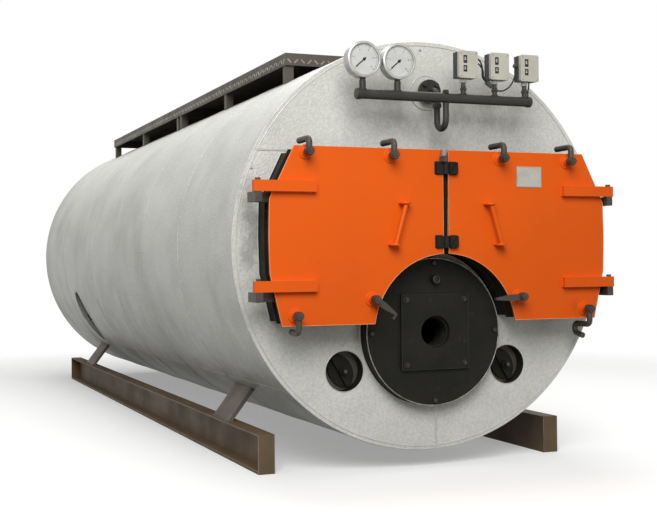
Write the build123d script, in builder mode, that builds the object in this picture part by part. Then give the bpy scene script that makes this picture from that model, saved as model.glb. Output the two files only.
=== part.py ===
"""Horizontal fire-tube steam boiler: insulated barrel on two skids, with hinged smokebox doors.

Millimetres, +Z up. The front end faces -Y, and +X is right seen from the front. The pieces are drawn
with the front cladding at y = 0 and the barrel running back along +Y, and are then moved so that the
origin is on the ground under the middle of the whole boiler.
"""

import math
import os

from build123d import *

os.makedirs("parts", exist_ok=True)

# Barrel and its insulation
clad_diameter = 1800.0
barrel_length = 5200.0
axis_height = 980.0
insulation = 80.0
shell_wall = 14.0
band_end_shares = (0.174, 0.325, 0.475, 0.627, 0.833)
end_insulation = 60.0
end_rim = 12.0
fit_gap = 0.3

# Tube plates, furnace and smoke tubes
tube_plate_thickness = 20.0
furnace_drop = 378.0
furnace_diameter = 584.0
furnace_wall = 12.0
tube_diameter = 76.0
tube_wall = 3.6
tube_pitch = 130.0
tube_row_pitch = 115.0
tube_top_rise = 305.0
tube_rows = 5
tube_clearance = 10.0
rear_smokebox_depth = 240.0
rear_smokebox_wall = 8.0

# Smokebox doors: heights from the barrel's axis, and places in from the cladding's radius
door_front = 186.0
door_plate = 10.0
door_top_rise = 405.0
door_foot_drop = 330.0
door_corner_rise = 188.0
door_bow_rise = 35.0
door_lower_drop = 118.0
door_top_inset = 211.0
door_corner_inset = 103.0
door_bow_inset = 99.0
door_lower_inset = 103.0
door_foot_inset = 153.0
door_arch_radius = 340.0
arch_middle_angle = 45.0
door_seam = 26.0
lining_inset = 60.0
lining_depth = 45.0
door_seat_gap = 6.0

# Smokebox
smokebox_inset = 18.0
smokebox_wall = 10.0
smokebox_flange_width = 30.0
smokebox_flange_depth = 8.0
smokebox_rib_height = 10.0
smokebox_rib_thickness = 8.0
smokebox_rib_places = (170.0, 100.0)
mullion_width = 50.0
mullion_depth = 50.0

# Hinges
hinge_pin_outset = {"left": 50.0, "right": 17.0}
hinge_pin_diameter = 14.0
hinge_pin_clearance = 0.5
arm_height = 45.0
arm_depth = 25.0
arm_inner_reach = {"left": 250.0, "right": 240.0}
arm_outer_reach = 20.0
arm_rises = (238.0, -168.0)
bracket_width = 30.0
bracket_height = 40.0
bracket_reach = 62.0
bracket_foot = 40.0
pin_head_diameter = 22.0
pin_head_height = 8.0
pin_head_gap = 1.0
arm_rest_gap = 0.5

# Door handles
handle_diameter = 16.0
handle_standoff = 60.0
handle_top_half = 203.0
handle_top_rise = 174.0
handle_foot_half = 253.0
handle_foot_drop = 1.0
handle_pad_diameter = 34.0
handle_pad_thickness = 8.0

# Clamp hooks
hook_bar = 26.0
hook_bend_share = 0.75
hook_collar = 56.0
hook_collar_thickness = 6.0
hook_boss_diameter = 36.0
hook_boss_length = 30.0
hook_eye = 38.0
hook_eye_thickness = 26.0
hook_nut_across = 30.0
hook_nut_height = 10.0
hook_rise = 27.0
hook_reach = 115.0
hook_top_inset = {"left": 48.0, "right": 86.0}
hook_top_drop = {"left": 26.0, "right": 37.0}
hook_inner_drop = 32.0
hook_inner_half = 262.0
hook_foot_inset = 55.0
hook_foot_rise = 42.0
hook_foot_reaches = {"left": 87.0, "right": 115.0}
hook_foot_tail = 40.0
hook_kick = 60.0
hook_kick_share = 0.2
arch_hook_half = 350.0
arch_hook_rise = 150.0
arch_hook_inward = {"left": 90.0, "right": 137.0}
arch_hook_drop = {"left": 66.0, "right": 8.0}
arch_hook_thickness = 16.0
arch_hook_tip = 10.0
arch_hook_bend = 18.0
arch_hook_neck_share = 0.45

# Meeting lugs
lug_half_width = 50.0
lug_height = 50.0
lug_thickness = 12.0
lug_seam = 6.0
lug_split = 10.0
lug_rises = (327.0, 12.0)
lug_knuckle = 24.0
lug_gusset = 8.0
lug_stud = 24.0
lug_stud_rise = 53.0
lug_stud_inset = 14.5

# Name plate
name_plate_width = 125.0
name_plate_height = 90.0
name_plate_thickness = 3.0
name_plate_half = 411.0
name_plate_rise = 297.0

# Furnace front
furnace_front_radius = 322.0
furnace_front_face = 63.0
cladding_cut_gap = 4.0
burner_plate_side = 326.0
burner_plate_thickness = 15.0
burner_bore = 140.0
sight_port_rise = 228.0
sight_port_diameter = 36.0
sight_port_length = 28.0
sight_port_bore = 22.0
sight_port_recess = 5.0

# Hand holes in the front end
handhole_half = 400.0
handhole_drop = 540.0
handhole_cut = 178.0
handhole_cover = (110.0, 150.0)
handhole_cover_thickness = 14.0
handhole_bridge = (150.0, 30.0, 16.0)
handhole_stud = 20.0
handhole_nut_across = 34.0
handhole_lean = 30.0

# Manhole on the left side
manhole_place = 3990.0
manhole_angle = 30.5
manhole_cut = (300.0, 430.0)
manhole_ring = (240.0, 350.0)
manhole_ring_wall = 16.0
manhole_ring_rise = 34.0
manhole_cover_thickness = 16.0
manhole_bridge_width = 40.0
manhole_bridge_thickness = 18.0
manhole_nut_across = 46.0
manhole_nut_height = 22.0

# Gauge nozzle, siphon and manifold
nozzle_rise = 676.0
nozzle_collar = 150.0
nozzle_collar_rise = 5.0
nozzle_pipe = 60.3
nozzle_flange = 105.0
nozzle_flange_thickness = 16.0
nozzle_flange_front = 48.0
siphon_diameter = 26.9
siphon_rear = 112.0
siphon_bend = 41.0
siphon_bend_share = 0.95
siphon_drop = 140.0
manifold_diameter = 42.4
manifold_half = 415.0
manifold_drop = 49.0
gauge_diameter = 150.0
gauge_depth = 48.0
gauge_bezel = 11.0
gauge_recess = 6.0
gauge_places = (-388.0, -228.0)
gauge_stub_diameter = 28.0
gauge_stub = 36.0
gauge_neck_diameter = 20.0
gauge_neck = 8.8

# Pressure switches on the manifold
switch_places = (85.0, 239.0, 388.0)
switch_offset = 6.5
switch_width = 88.0
switch_height = 112.0
switch_body_depth = 42.0
switch_rib_pitch = 12.0
switch_rib_depth = 3.0
switch_rib_count = 3
switch_cover_width = 91.0
switch_cover_height = 116.0
switch_cover_depth = 16.0
switch_cover_corner = 7.0
switch_window_width = 19.0
switch_window_heights = (34.0, 28.0)
switch_window_places = ((-15.0, 22.0), (-15.0, -18.0))
switch_window_depth = 3.0
switch_stub_diameter = 22.0
switch_stub = 33.3
switch_gland = 20.0
switch_gland_height = 32.5

# Leads between the switches, each with arcs as large as its runs leave room for
cable_diameter = 7.0
cable_arc_share = 0.45
funnel_mouth = 13.0
funnel_foot = 7.0
funnel_reach = (27.0, 25.0)
funnel_place = (-40.0, 7.0)
cable_boss_diameter = 16.0
cable_boss_length = 15.0
cable_boss_rise = 68.0
pair_spread = 4.2
pair_lead = 24.0
upper_runs = (16.0, 33.0)
upper_rises = (95.0, 95.0, 84.0, 60.0)
lower_runs = (16.0, 31.0)
lower_rises = (70.0, 70.0, 60.0, 40.0)
loop_runs = (0.0, 30.0, 58.0, 80.0)
loop_rises = (21.0, 21.0, 36.0, 62.0)
loop_turn_rise = 95.0
lead_shift = 24.0
lead_bow = 6.0
lead_drops = (20.0, 43.0)

# Skids and legs
skid_outer_half = 749.0
skid_width = 75.0
skid_height = 170.0
skid_wall = 8.0
skid_front = 130.0
skid_rear = 4900.0
leg_places = (752.0, 4200.0)
leg_width = 250.0
leg_wall = 12.0
leg_depth = 24.0
leg_foot_half = 732.0
leg_head_half = 606.0
leg_sink = 20.0

# Walkway
deck_rise = 22.0
deck_half = 460.0
deck_plate = 6.0
deck_fascia = 58.0
deck_front = 545.0
deck_rear = 4550.0
deck_seam = 10.0
post_side = 40.0
post_wall = 6.0
post_end_inset = 30.0

# Steam outlet
steam_nozzle_place = 4740.0
steam_pipe = 139.7
steam_pipe_bore = 125.7
steam_flange_diameter = 250.0
steam_bolt_circle = 210.0
steam_bolt_count = 8
steam_bolt_hole = 18.0
steam_flange_thickness = 22.0
steam_flange_rise = 170.0

# Smoke outlet at the rear
flue_rise = 170.0
flue_diameter = 400.0
flue_wall = 6.0
flue_length = 160.0
flue_flange = 480.0
flue_flange_thickness = 10.0
flue_bolt_circle = 450.0
flue_bolt_count = 12
flue_bolt_hole = 12.0

overrun = 5.0
full_turn = 360.0

# Places worked out from the sizes
clad_radius = clad_diameter / 2
clad_top = axis_height + clad_radius
shell_radius = clad_radius - insulation
tube_plate_front = end_insulation
shell_front = tube_plate_front + tube_plate_thickness
shell_rear = barrel_length - end_insulation - rear_smokebox_depth - tube_plate_thickness
furnace_height = axis_height - furnace_drop
tube_top_row = axis_height + tube_top_rise
door_top = axis_height + door_top_rise
door_bottom = axis_height - door_foot_drop
door_top_half = clad_radius - door_top_inset
door_corner = (clad_radius - door_corner_inset, axis_height + door_corner_rise)
door_bow = (clad_radius - door_bow_inset, axis_height + door_bow_rise)
door_lower = (clad_radius - door_lower_inset, axis_height - door_lower_drop)
door_bottom_half = clad_radius - door_foot_inset
hinge_pin_half = {hand: door_bow[0] + outset for hand, outset in hinge_pin_outset.items()}
hinge_pin_front = door_front + arm_depth / 2
arm_heights = [axis_height + rise for rise in arm_rises]
handle_top = (handle_top_half, axis_height + handle_top_rise)
handle_foot = (handle_foot_half, axis_height - handle_foot_drop)
hook_top_inner = (hook_inner_half, door_top - hook_inner_drop)
hook_bottom_outer = (door_bottom_half - hook_foot_inset, door_bottom + hook_foot_rise)
hook_arch = (arch_hook_half, furnace_height + arch_hook_rise)
lug_heights = [axis_height + rise for rise in lug_rises]
name_plate_place = (name_plate_half, axis_height + name_plate_rise)
sight_port_height = furnace_height + sight_port_rise
handhole_height = axis_height - handhole_drop
smokebox_front = door_front - door_plate - door_seat_gap
nozzle_height = axis_height + nozzle_rise
manifold_height = nozzle_height - manifold_drop
manifold_top = manifold_height + manifold_diameter / 2
manifold_front = siphon_rear + 2 * siphon_bend
siphon_bottom = manifold_height - siphon_drop
gauge_height = manifold_top + gauge_stub + gauge_neck + gauge_diameter / 2
switch_bottom = manifold_top + switch_stub + switch_gland_height
switch_middle = switch_bottom + switch_height / 2
deck_top = clad_top + deck_rise
steam_flange_top = clad_top + steam_flange_rise
flue_height = axis_height + flue_rise
front_reach = door_front + handle_standoff + handle_diameter / 2
length_middle = (barrel_length + flue_length - front_reach) / 2
sides = {"left": -1, "right": 1}


def keep(piece, name):
    """Move a finished piece to the frame's origin, label it and write it to its own file."""
    piece.part.locate(Location((0, -length_middle, 0)) * piece.part.location)
    piece.part.label = name
    export_step(piece.part, f"parts/{name}.step")


def door_outline(side, front, seam_half):
    """Face of one door: flat top, cut corner, bowed side, flat foot and an arch round the furnace."""
    arch_top = furnace_height + math.sqrt(door_arch_radius**2 - seam_half**2)
    arch_foot = math.sqrt(door_arch_radius**2 - (door_bottom - furnace_height) ** 2)
    arch_lean = math.radians(arch_middle_angle)
    arch_point = (
        side * door_arch_radius * math.cos(arch_lean),
        furnace_height + door_arch_radius * math.sin(arch_lean),
    )
    with BuildSketch(Plane.XZ.offset(front)) as outline:
        with BuildLine():
            Polyline(
                (side * seam_half, arch_top),
                (side * seam_half, door_top),
                (side * door_top_half, door_top),
                (side * door_corner[0], door_corner[1]),
            )
            ThreePointArc(
                (side * door_corner[0], door_corner[1]),
                (side * door_bow[0], door_bow[1]),
                (side * door_lower[0], door_lower[1]),
            )
            Polyline(
                (side * door_lower[0], door_lower[1]),
                (side * door_bottom_half, door_bottom),
                (side * arch_foot, door_bottom),
            )
            ThreePointArc((side * arch_foot, door_bottom), arch_point, (side * seam_half, arch_top))
        make_face()
    return outline.sketch


def smokebox_outline(front, inset):
    """Face of both doors together, without their seam, moved in by the inset."""
    with BuildSketch(Plane.XZ.offset(front)) as outline:
        add(door_outline(1, 0, 0))
        add(door_outline(-1, 0, 0))
        offset(amount=-inset, kind=Kind.INTERSECTION)
    return outline.sketch


# Barrel: pressure shell, its end plates and the insulated cladding bands
with BuildPart() as pressure_shell:
    with BuildSketch(Plane.XZ.offset(-shell_front)):
        with Locations((0, axis_height)):
            Circle(shell_radius)
            Circle(shell_radius - shell_wall, mode=Mode.SUBTRACT)
    extrude(amount=-(shell_rear - shell_front))
    with BuildSketch(Plane.XY.offset(axis_height)):
        with Locations((0, steam_nozzle_place)):
            Circle(steam_pipe_bore / 2)
    extrude(amount=clad_radius, mode=Mode.SUBTRACT)
keep(pressure_shell, "pressure_shell")

band_ends = [share * barrel_length for share in band_end_shares]
band_spans = list(zip([end_rim] + band_ends, band_ends + [barrel_length - end_rim]))
manhole_lean = math.radians(manhole_angle)
manhole_out = (-math.cos(manhole_lean), 0, -math.sin(manhole_lean))
manhole_plane = Plane(
    origin=(
        shell_radius * manhole_out[0],
        manhole_place,
        axis_height + shell_radius * manhole_out[2],
    ),
    x_dir=(0, 1, 0),
    z_dir=manhole_out,
)
with BuildPart() as barrel_cladding:
    for start, stop in band_spans[:-1]:
        with BuildSketch(Plane.XZ.offset(-(start + fit_gap))):
            with Locations((0, axis_height)):
                Circle(clad_radius)
                Circle(shell_radius + fit_gap, mode=Mode.SUBTRACT)
        extrude(amount=-(stop - start - fit_gap))
    with BuildSketch(manhole_plane.offset(-insulation)):
        Ellipse(manhole_cut[0] / 2, manhole_cut[1] / 2)
    extrude(amount=2 * insulation + overrun, mode=Mode.SUBTRACT)
keep(barrel_cladding, "barrel_cladding")

with BuildPart() as rear_band:
    start, stop = band_spans[-1]
    with BuildSketch(Plane.XZ.offset(-(start + fit_gap))):
        with Locations((0, axis_height)):
            Circle(clad_radius)
            Circle(shell_radius + fit_gap, mode=Mode.SUBTRACT)
    extrude(amount=-(stop - start - fit_gap))
    with BuildSketch(Plane.XY.offset(axis_height)):
        with Locations((0, steam_nozzle_place)):
            Circle(steam_pipe / 2 + fit_gap)
    extrude(amount=clad_radius + overrun, mode=Mode.SUBTRACT)
keep(rear_band, "rear_band_cladding")

# Smoke tube places: staggered rows that clear the furnace, the arch and the smokebox sides
tube_radius = tube_diameter / 2
arch_clear = door_arch_radius + smokebox_inset + smokebox_wall + tube_clearance + tube_radius
side_clear = door_bottom_half - smokebox_inset - smokebox_wall - tube_clearance - tube_radius
tube_places = []
for row in range(tube_rows):
    height = tube_top_row - row * tube_row_pitch
    stagger = tube_pitch / 2 if row % 2 == 0 else tube_pitch
    column = 0
    while stagger + column * tube_pitch <= side_clear:
        across = stagger + column * tube_pitch
        from_furnace = math.hypot(across, height - furnace_height)
        from_axis = math.hypot(across, height - axis_height)
        rim_clear = shell_radius - shell_wall - tube_clearance - tube_radius
        if from_furnace >= arch_clear and from_axis <= rim_clear:
            tube_places += [(across, height), (-across, height)]
        column += 1


def tube_plate(front_face, with_tubes):
    """Round end plate of the pressure shell, with its furnace hole and tube holes."""
    with BuildPart() as plate:
        with BuildSketch(Plane.XZ.offset(-front_face)):
            with Locations((0, axis_height)):
                Circle(shell_radius)
            if with_tubes:
                with Locations((0, furnace_height)):
                    Circle(furnace_diameter / 2 + fit_gap, mode=Mode.SUBTRACT)
            with Locations(*tube_places):
                Circle(tube_radius + fit_gap, mode=Mode.SUBTRACT)
        extrude(amount=-tube_plate_thickness)
    return plate


keep(tube_plate(tube_plate_front, True), "front_tube_plate")
keep(tube_plate(shell_rear, False), "rear_tube_plate")

with BuildPart() as smoke_tubes:
    with BuildSketch(Plane.XZ.offset(-tube_plate_front)):
        with Locations(*tube_places):
            Circle(tube_radius)
            Circle(tube_radius - tube_wall, mode=Mode.SUBTRACT)
    extrude(amount=-(shell_rear + tube_plate_thickness - tube_plate_front))
keep(smoke_tubes, "smoke_tubes")

with BuildPart() as furnace_tube:
    with BuildSketch(Plane.XZ.offset(-tube_plate_front)):
        with Locations((0, furnace_height)):
            Circle(furnace_diameter / 2)
            Circle(furnace_diameter / 2 - furnace_wall, mode=Mode.SUBTRACT)
    extrude(amount=-(shell_rear - tube_plate_front - fit_gap))
keep(furnace_tube, "furnace_tube")

# Front end cladding: an upper sheet over a lower one, cut for the smokebox, furnace and hand holes
def end_cladding(lower):
    """Insulated end sheet: a full rim and a plug inside the shell's bands, split at the doors' top."""
    split_gap = fit_gap if lower else 0
    split_top = door_top - split_gap if lower else axis_height + clad_radius
    split_foot = axis_height - clad_radius if lower else door_top
    with BuildPart() as sheet:
        for depth, radius in ((end_rim, clad_radius), (end_insulation - fit_gap, shell_radius)):
            with BuildSketch(Plane.XZ):
                with Locations((0, axis_height)):
                    Circle(radius)
                with Locations((0, (split_top + split_foot) / 2)):
                    Rectangle(clad_diameter, split_top - split_foot, mode=Mode.INTERSECT)
            extrude(amount=-depth)
        if lower:
            extrude(
                smokebox_outline(overrun, smokebox_inset - cladding_cut_gap),
                amount=-(end_insulation + 2 * overrun),
                mode=Mode.SUBTRACT,
            )
            with BuildSketch(Plane.XZ.offset(overrun)):
                with Locations((0, furnace_height)):
                    Circle(furnace_front_radius + cladding_cut_gap)
                with Locations((handhole_half, handhole_height), (-handhole_half, handhole_height)):
                    Circle(handhole_cut / 2)
            extrude(amount=-(end_insulation + 2 * overrun), mode=Mode.SUBTRACT)
        else:
            with BuildSketch(Plane.XZ):
                with Locations((0, nozzle_height)):
                    Circle(nozzle_collar / 2)
            extrude(amount=nozzle_collar_rise)
            with BuildSketch(Plane.XZ.offset(nozzle_collar_rise + overrun)):
                with Locations((0, nozzle_height)):
                    Circle(nozzle_pipe / 2 + cladding_cut_gap)
            extrude(amount=-(end_insulation + nozzle_collar_rise + 2 * overrun), mode=Mode.SUBTRACT)
    return sheet


keep(end_cladding(True), "front_cladding_lower")
keep(end_cladding(False), "front_cladding_upper")

with BuildPart() as rear_cladding:
    for depth, radius in ((end_rim, clad_radius), (end_insulation - fit_gap, shell_radius)):
        with BuildSketch(Plane.XZ.offset(-barrel_length)):
            with Locations((0, axis_height)):
                Circle(radius)
            with Locations((0, flue_height)):
                Circle(flue_diameter / 2 + cladding_cut_gap, mode=Mode.SUBTRACT)
        extrude(amount=depth)
keep(rear_cladding, "rear_cladding")

# Rear smokebox behind the tube plate, and the round smoke outlet on it
rear_smokebox_back = barrel_length - end_insulation
with BuildPart() as rear_smokebox:
    with BuildSketch(Plane.XZ.offset(-rear_smokebox_back)):
        with Locations((0, axis_height)):
            Circle(shell_radius)
    extrude(amount=rear_smokebox_depth - fit_gap)
    with BuildSketch(Plane.XZ.offset(-(rear_smokebox_back - rear_smokebox_wall))):
        with Locations((0, axis_height)):
            Circle(shell_radius - rear_smokebox_wall)
    extrude(amount=rear_smokebox_depth, mode=Mode.SUBTRACT)
    with BuildSketch(Plane.XZ.offset(-(rear_smokebox_back + overrun))):
        with Locations((0, flue_height)):
            Circle(flue_diameter / 2 - flue_wall)
    extrude(amount=rear_smokebox_wall + 2 * overrun, mode=Mode.SUBTRACT)
keep(rear_smokebox, "rear_smokebox")

with BuildPart() as rear_smoke_outlet:
    with BuildSketch(Plane.XZ.offset(-(rear_smokebox_back + fit_gap))):
        with Locations((0, flue_height)):
            Circle(flue_diameter / 2)
            Circle(flue_diameter / 2 - flue_wall, mode=Mode.SUBTRACT)
    extrude(amount=-(end_insulation - fit_gap + flue_length))
    with BuildSketch(Plane.XZ.offset(-(barrel_length + flue_length))):
        with Locations((0, flue_height)):
            Circle(flue_flange / 2)
            Circle(flue_diameter / 2 - flue_wall, mode=Mode.SUBTRACT)
            with PolarLocations(flue_bolt_circle / 2, flue_bolt_count):
                Circle(flue_bolt_hole / 2, mode=Mode.SUBTRACT)
    extrude(amount=flue_flange_thickness)
keep(rear_smoke_outlet, "rear_smoke_outlet")

# Smokebox: a wall round both doors' outline, with the flange and centre bar that the doors close on
with BuildPart() as smokebox:
    wall_depth = smokebox_front + tube_plate_front - fit_gap
    extrude(smokebox_outline(smokebox_front, smokebox_inset), amount=-wall_depth)
    for rib_front in smokebox_rib_places:
        extrude(
            smokebox_outline(rib_front, smokebox_inset - smokebox_rib_height),
            amount=-smokebox_rib_thickness,
        )
    extrude(
        smokebox_outline(smokebox_front, smokebox_inset + smokebox_wall),
        amount=-(smokebox_front + tube_plate_front + overrun),
        mode=Mode.SUBTRACT,
    )
    extrude(smokebox_outline(smokebox_front, smokebox_inset), amount=-smokebox_flange_depth)
    extrude(
        smokebox_outline(smokebox_front + overrun, smokebox_inset + smokebox_flange_width),
        amount=-(smokebox_flange_depth + 2 * overrun),
        mode=Mode.SUBTRACT,
    )
    mullion_top = door_top - smokebox_inset - smokebox_wall / 2
    mullion_foot = furnace_height + door_arch_radius + smokebox_inset + smokebox_wall / 2
    with BuildSketch(Plane.XZ.offset(smokebox_front)):
        with Locations((0, (mullion_top + mullion_foot) / 2)):
            Rectangle(mullion_width, mullion_top - mullion_foot)
    extrude(amount=-mullion_depth)
keep(smokebox, "smokebox")

# Hinge brackets and pins on the smokebox sides
bracket_rear = door_front + arm_depth - bracket_reach
bracket_inner = door_bottom_half - smokebox_inset
with BuildPart() as hinge_brackets:
    for hand, side in sides.items():
        for arm_middle in arm_heights:
            bracket_top = arm_middle - arm_height / 2 - arm_rest_gap
            with BuildSketch(Plane.XY.offset(bracket_top)):
                with Locations((side * hinge_pin_half[hand], -(door_front + arm_depth - bracket_reach / 2))):
                    Rectangle(bracket_width, bracket_reach)
                foot_outer = hinge_pin_half[hand] + bracket_width / 2
                with Locations((side * (bracket_inner + foot_outer) / 2, -(bracket_rear - bracket_foot / 2))):
                    Rectangle(foot_outer - bracket_inner, bracket_foot)
                with Locations((side * hinge_pin_half[hand], -hinge_pin_front)):
                    Circle(hinge_pin_diameter / 2 + fit_gap / 2, mode=Mode.SUBTRACT)
            extrude(amount=-bracket_height)
    extrude(
        smokebox_outline(smokebox_front, smokebox_inset - fit_gap),
        amount=-(smokebox_front + end_rim),
        mode=Mode.SUBTRACT,
    )
keep(hinge_brackets, "hinge_brackets")

with BuildPart() as hinge_pins:
    for hand, side in sides.items():
        for arm_middle in arm_heights:
            pin_foot = arm_middle - arm_height / 2 - arm_rest_gap - bracket_height
            arm_top = arm_middle + arm_height / 2
            with BuildSketch(Plane.XY.offset(pin_foot)):
                with Locations((side * hinge_pin_half[hand], -hinge_pin_front)):
                    Circle(hinge_pin_diameter / 2)
            extrude(amount=arm_top + pin_head_gap - pin_foot)
            with BuildSketch(Plane.XY.offset(arm_top + pin_head_gap)):
                with Locations((side * hinge_pin_half[hand], -hinge_pin_front)):
                    Circle(pin_head_diameter / 2)
            extrude(amount=pin_head_height)
keep(hinge_pins, "hinge_pins")

# Doors, one each side, with everything that swings with them
for hand, side in sides.items():
    with BuildPart() as panel:
        extrude(door_outline(side, door_front, door_seam / 2), amount=-door_plate)
        hook_top_outer = (door_top_half - hook_top_inset[hand], door_top - hook_top_drop[hand])
        boss_places = (hook_top_outer, hook_top_inner, hook_bottom_outer, hook_arch)
        boss_points = [(side * place[0], place[1]) for place in boss_places]
        for diameter, reach in ((hook_collar, hook_collar_thickness), (hook_boss_diameter, hook_boss_length)):
            with BuildSketch(Plane.XZ.offset(door_front - door_plate / 2)):
                with Locations(*boss_points):
                    Circle(diameter / 2)
            extrude(amount=door_plate / 2 + reach)
    keep(panel, f"{hand}_door_panel")

    with BuildPart() as lining:
        with BuildSketch(Plane.XZ.offset(door_front - door_plate - fit_gap)):
            add(door_outline(side, 0, door_seam / 2))
            offset(amount=-lining_inset, kind=Kind.INTERSECTION)
        extrude(amount=-lining_depth)
    keep(lining, f"{hand}_door_lining")

    with BuildPart() as arms:
        arm_outer_half = hinge_pin_half[hand] + arm_outer_reach
        arm_inner_half = hinge_pin_half[hand] - arm_inner_reach[hand]
        for arm_middle in arm_heights:
            with BuildSketch(Plane.XZ.offset(door_front + fit_gap)):
                with Locations((side * (arm_inner_half + arm_outer_half) / 2, arm_middle)):
                    Rectangle(arm_outer_half - arm_inner_half, arm_height)
            extrude(amount=arm_depth - fit_gap)
            with BuildSketch(Plane.XY.offset(arm_middle + arm_height / 2 + overrun)):
                with Locations((side * hinge_pin_half[hand], -hinge_pin_front)):
                    Circle(hinge_pin_diameter / 2 + hinge_pin_clearance)
            extrude(amount=-(arm_height + 2 * overrun), mode=Mode.SUBTRACT)
    keep(arms, f"{hand}_hinge_arms")

    with BuildPart() as handle:
        bar_front = door_front + handle_standoff
        with BuildLine() as bar_line:
            FilletPolyline(
                (side * handle_top[0], -(door_front + handle_pad_thickness / 2), handle_top[1]),
                (side * handle_top[0], -bar_front, handle_top[1]),
                (side * handle_foot[0], -bar_front, handle_foot[1]),
                (side * handle_foot[0], -(door_front + handle_pad_thickness / 2), handle_foot[1]),
                radius=handle_diameter,
            )
        with BuildSketch(Plane(origin=bar_line.line @ 0, z_dir=bar_line.line % 0)):
            Circle(handle_diameter / 2)
        sweep()
        with BuildSketch(Plane.XZ.offset(door_front + fit_gap)):
            with Locations((side * handle_top[0], handle_top[1]), (side * handle_foot[0], handle_foot[1])):
                Circle(handle_pad_diameter / 2)
        extrude(amount=handle_pad_thickness)
    keep(handle, f"{hand}_door_handle")

    with BuildPart() as hooks:
        eye_rear = door_front + hook_boss_length + fit_gap
        bar_middle = eye_rear + hook_eye_thickness / 2
        hook_runs = (
            (hook_top_outer, 1, hook_reach),
            (hook_top_inner, 1, hook_reach),
            (hook_bottom_outer, -1, hook_foot_reaches[hand]),
        )
        for place, rise, reach in hook_runs:
            across = side * place[0]
            bar_height = (door_top if rise > 0 else door_bottom) + rise * hook_rise
            rear = reach - bar_middle
            hook_points = [
                (across, -bar_middle, place[1]),
                (across, -bar_middle, bar_height),
                (across, rear, bar_height),
            ]
            if rise < 0 and hand == "right":
                tail_foot = bar_height - hook_foot_tail
                hook_points += [
                    (across, rear, tail_foot),
                    (across, rear - hook_kick, tail_foot - hook_kick * hook_kick_share),
                ]
            with BuildLine() as hook_line:
                FilletPolyline(*hook_points, radius=hook_bar * hook_bend_share)
            with BuildSketch(Plane(origin=hook_line.line @ 0, z_dir=hook_line.line % 0)):
                Circle(hook_bar / 2)
            sweep()
        arch_inward = arch_hook_inward[hand]
        arch_drop = arch_hook_drop[hand]
        arch_length = math.hypot(arch_inward, arch_drop)
        arch_neck = arch_length * arch_hook_neck_share
        arch_points = [(0, -hook_bar / 2), (arch_neck, -hook_bar / 2)]
        if hand == "left":
            arch_points += [
                (arch_length - arch_hook_tip, -arch_hook_tip / 2),
                (arch_length - arch_hook_tip, -arch_hook_tip / 2 - arch_hook_bend),
                (arch_length, -arch_hook_tip / 2 - arch_hook_bend),
            ]
        else:
            arch_points += [(arch_length, -arch_hook_tip / 2)]
        arch_points += [(arch_length, arch_hook_tip / 2), (arch_neck, hook_bar / 2), (0, hook_bar / 2)]
        arch_plane = Plane(
            origin=(side * hook_arch[0], arch_hook_thickness / 2 - bar_middle, hook_arch[1]),
            x_dir=(-side * arch_inward, 0, -arch_drop),
            z_dir=(0, -1, 0),
        )
        with BuildSketch(arch_plane):
            with BuildLine():
                Polyline(*arch_points, close=True)
            make_face()
        extrude(amount=arch_hook_thickness)
        with BuildSketch(Plane.XZ.offset(eye_rear)):
            with Locations(*boss_points):
                Circle(hook_eye / 2)
        extrude(amount=hook_eye_thickness)
        with BuildSketch(Plane.XZ.offset(eye_rear + hook_eye_thickness)):
            with Locations(*boss_points):
                RegularPolygon(hook_nut_across / 2, 6, major_radius=False)
        extrude(amount=hook_nut_height)
    keep(hooks, f"{hand}_clamp_hooks")

    with BuildPart() as lugs:
        own_edge = lug_split + side * lug_seam / 2
        far_edge = side * lug_half_width
        lug_front = door_front + fit_gap + lug_thickness
        for lug_middle in lug_heights:
            lug_foot = lug_middle - lug_height / 2
            with BuildSketch(Plane.XZ.offset(door_front + fit_gap)):
                with Locations(((own_edge + far_edge) / 2, lug_middle)):
                    Rectangle(abs(far_edge - own_edge), lug_height)
            extrude(amount=lug_thickness)
            if hand == "left":
                with BuildSketch(Plane.XY.offset(lug_foot)):
                    with Locations((own_edge - lug_knuckle / 2, -lug_front)):
                        Circle(lug_knuckle / 2)
                extrude(amount=lug_height)
            else:
                with BuildSketch(Plane.XZ.offset(lug_front)):
                    with BuildLine():
                        Polyline(
                            (own_edge, lug_foot),
                            (far_edge, lug_foot),
                            (far_edge, lug_foot + lug_height),
                            close=True,
                        )
                    make_face()
                extrude(amount=lug_gusset)
        if hand == "left":
            lug_top = lug_heights[0] + lug_height / 2
            with BuildSketch(Plane.XY.offset(lug_top - overrun)):
                with Locations((-lug_stud_inset, -lug_front)):
                    Circle(lug_stud / 2)
            extrude(amount=lug_stud_rise + overrun)
    keep(lugs, f"{hand}_meeting_lugs")

with BuildPart() as name_plate:
    with BuildSketch(Plane.XZ.offset(door_front + fit_gap)):
        with Locations(name_plate_place):
            Rectangle(name_plate_width, name_plate_height)
    extrude(amount=name_plate_thickness)
keep(name_plate, "name_plate")

# Furnace front, burner plate and sight port
with BuildPart() as furnace_front:
    with BuildSketch(Plane.XZ.offset(-(tube_plate_front - fit_gap))):
        with Locations((0, furnace_height)):
            Circle(furnace_front_radius)
            Circle(burner_bore / 2, mode=Mode.SUBTRACT)
    extrude(amount=tube_plate_front - fit_gap + furnace_front_face)
keep(furnace_front, "furnace_front")

with BuildPart() as burner_plate:
    with BuildSketch(Plane.XZ.offset(furnace_front_face + fit_gap)):
        with Locations((0, furnace_height)):
            Rectangle(burner_plate_side, burner_plate_side)
            Circle(burner_bore / 2, mode=Mode.SUBTRACT)
    extrude(amount=burner_plate_thickness)
keep(burner_plate, "burner_plate")

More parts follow.
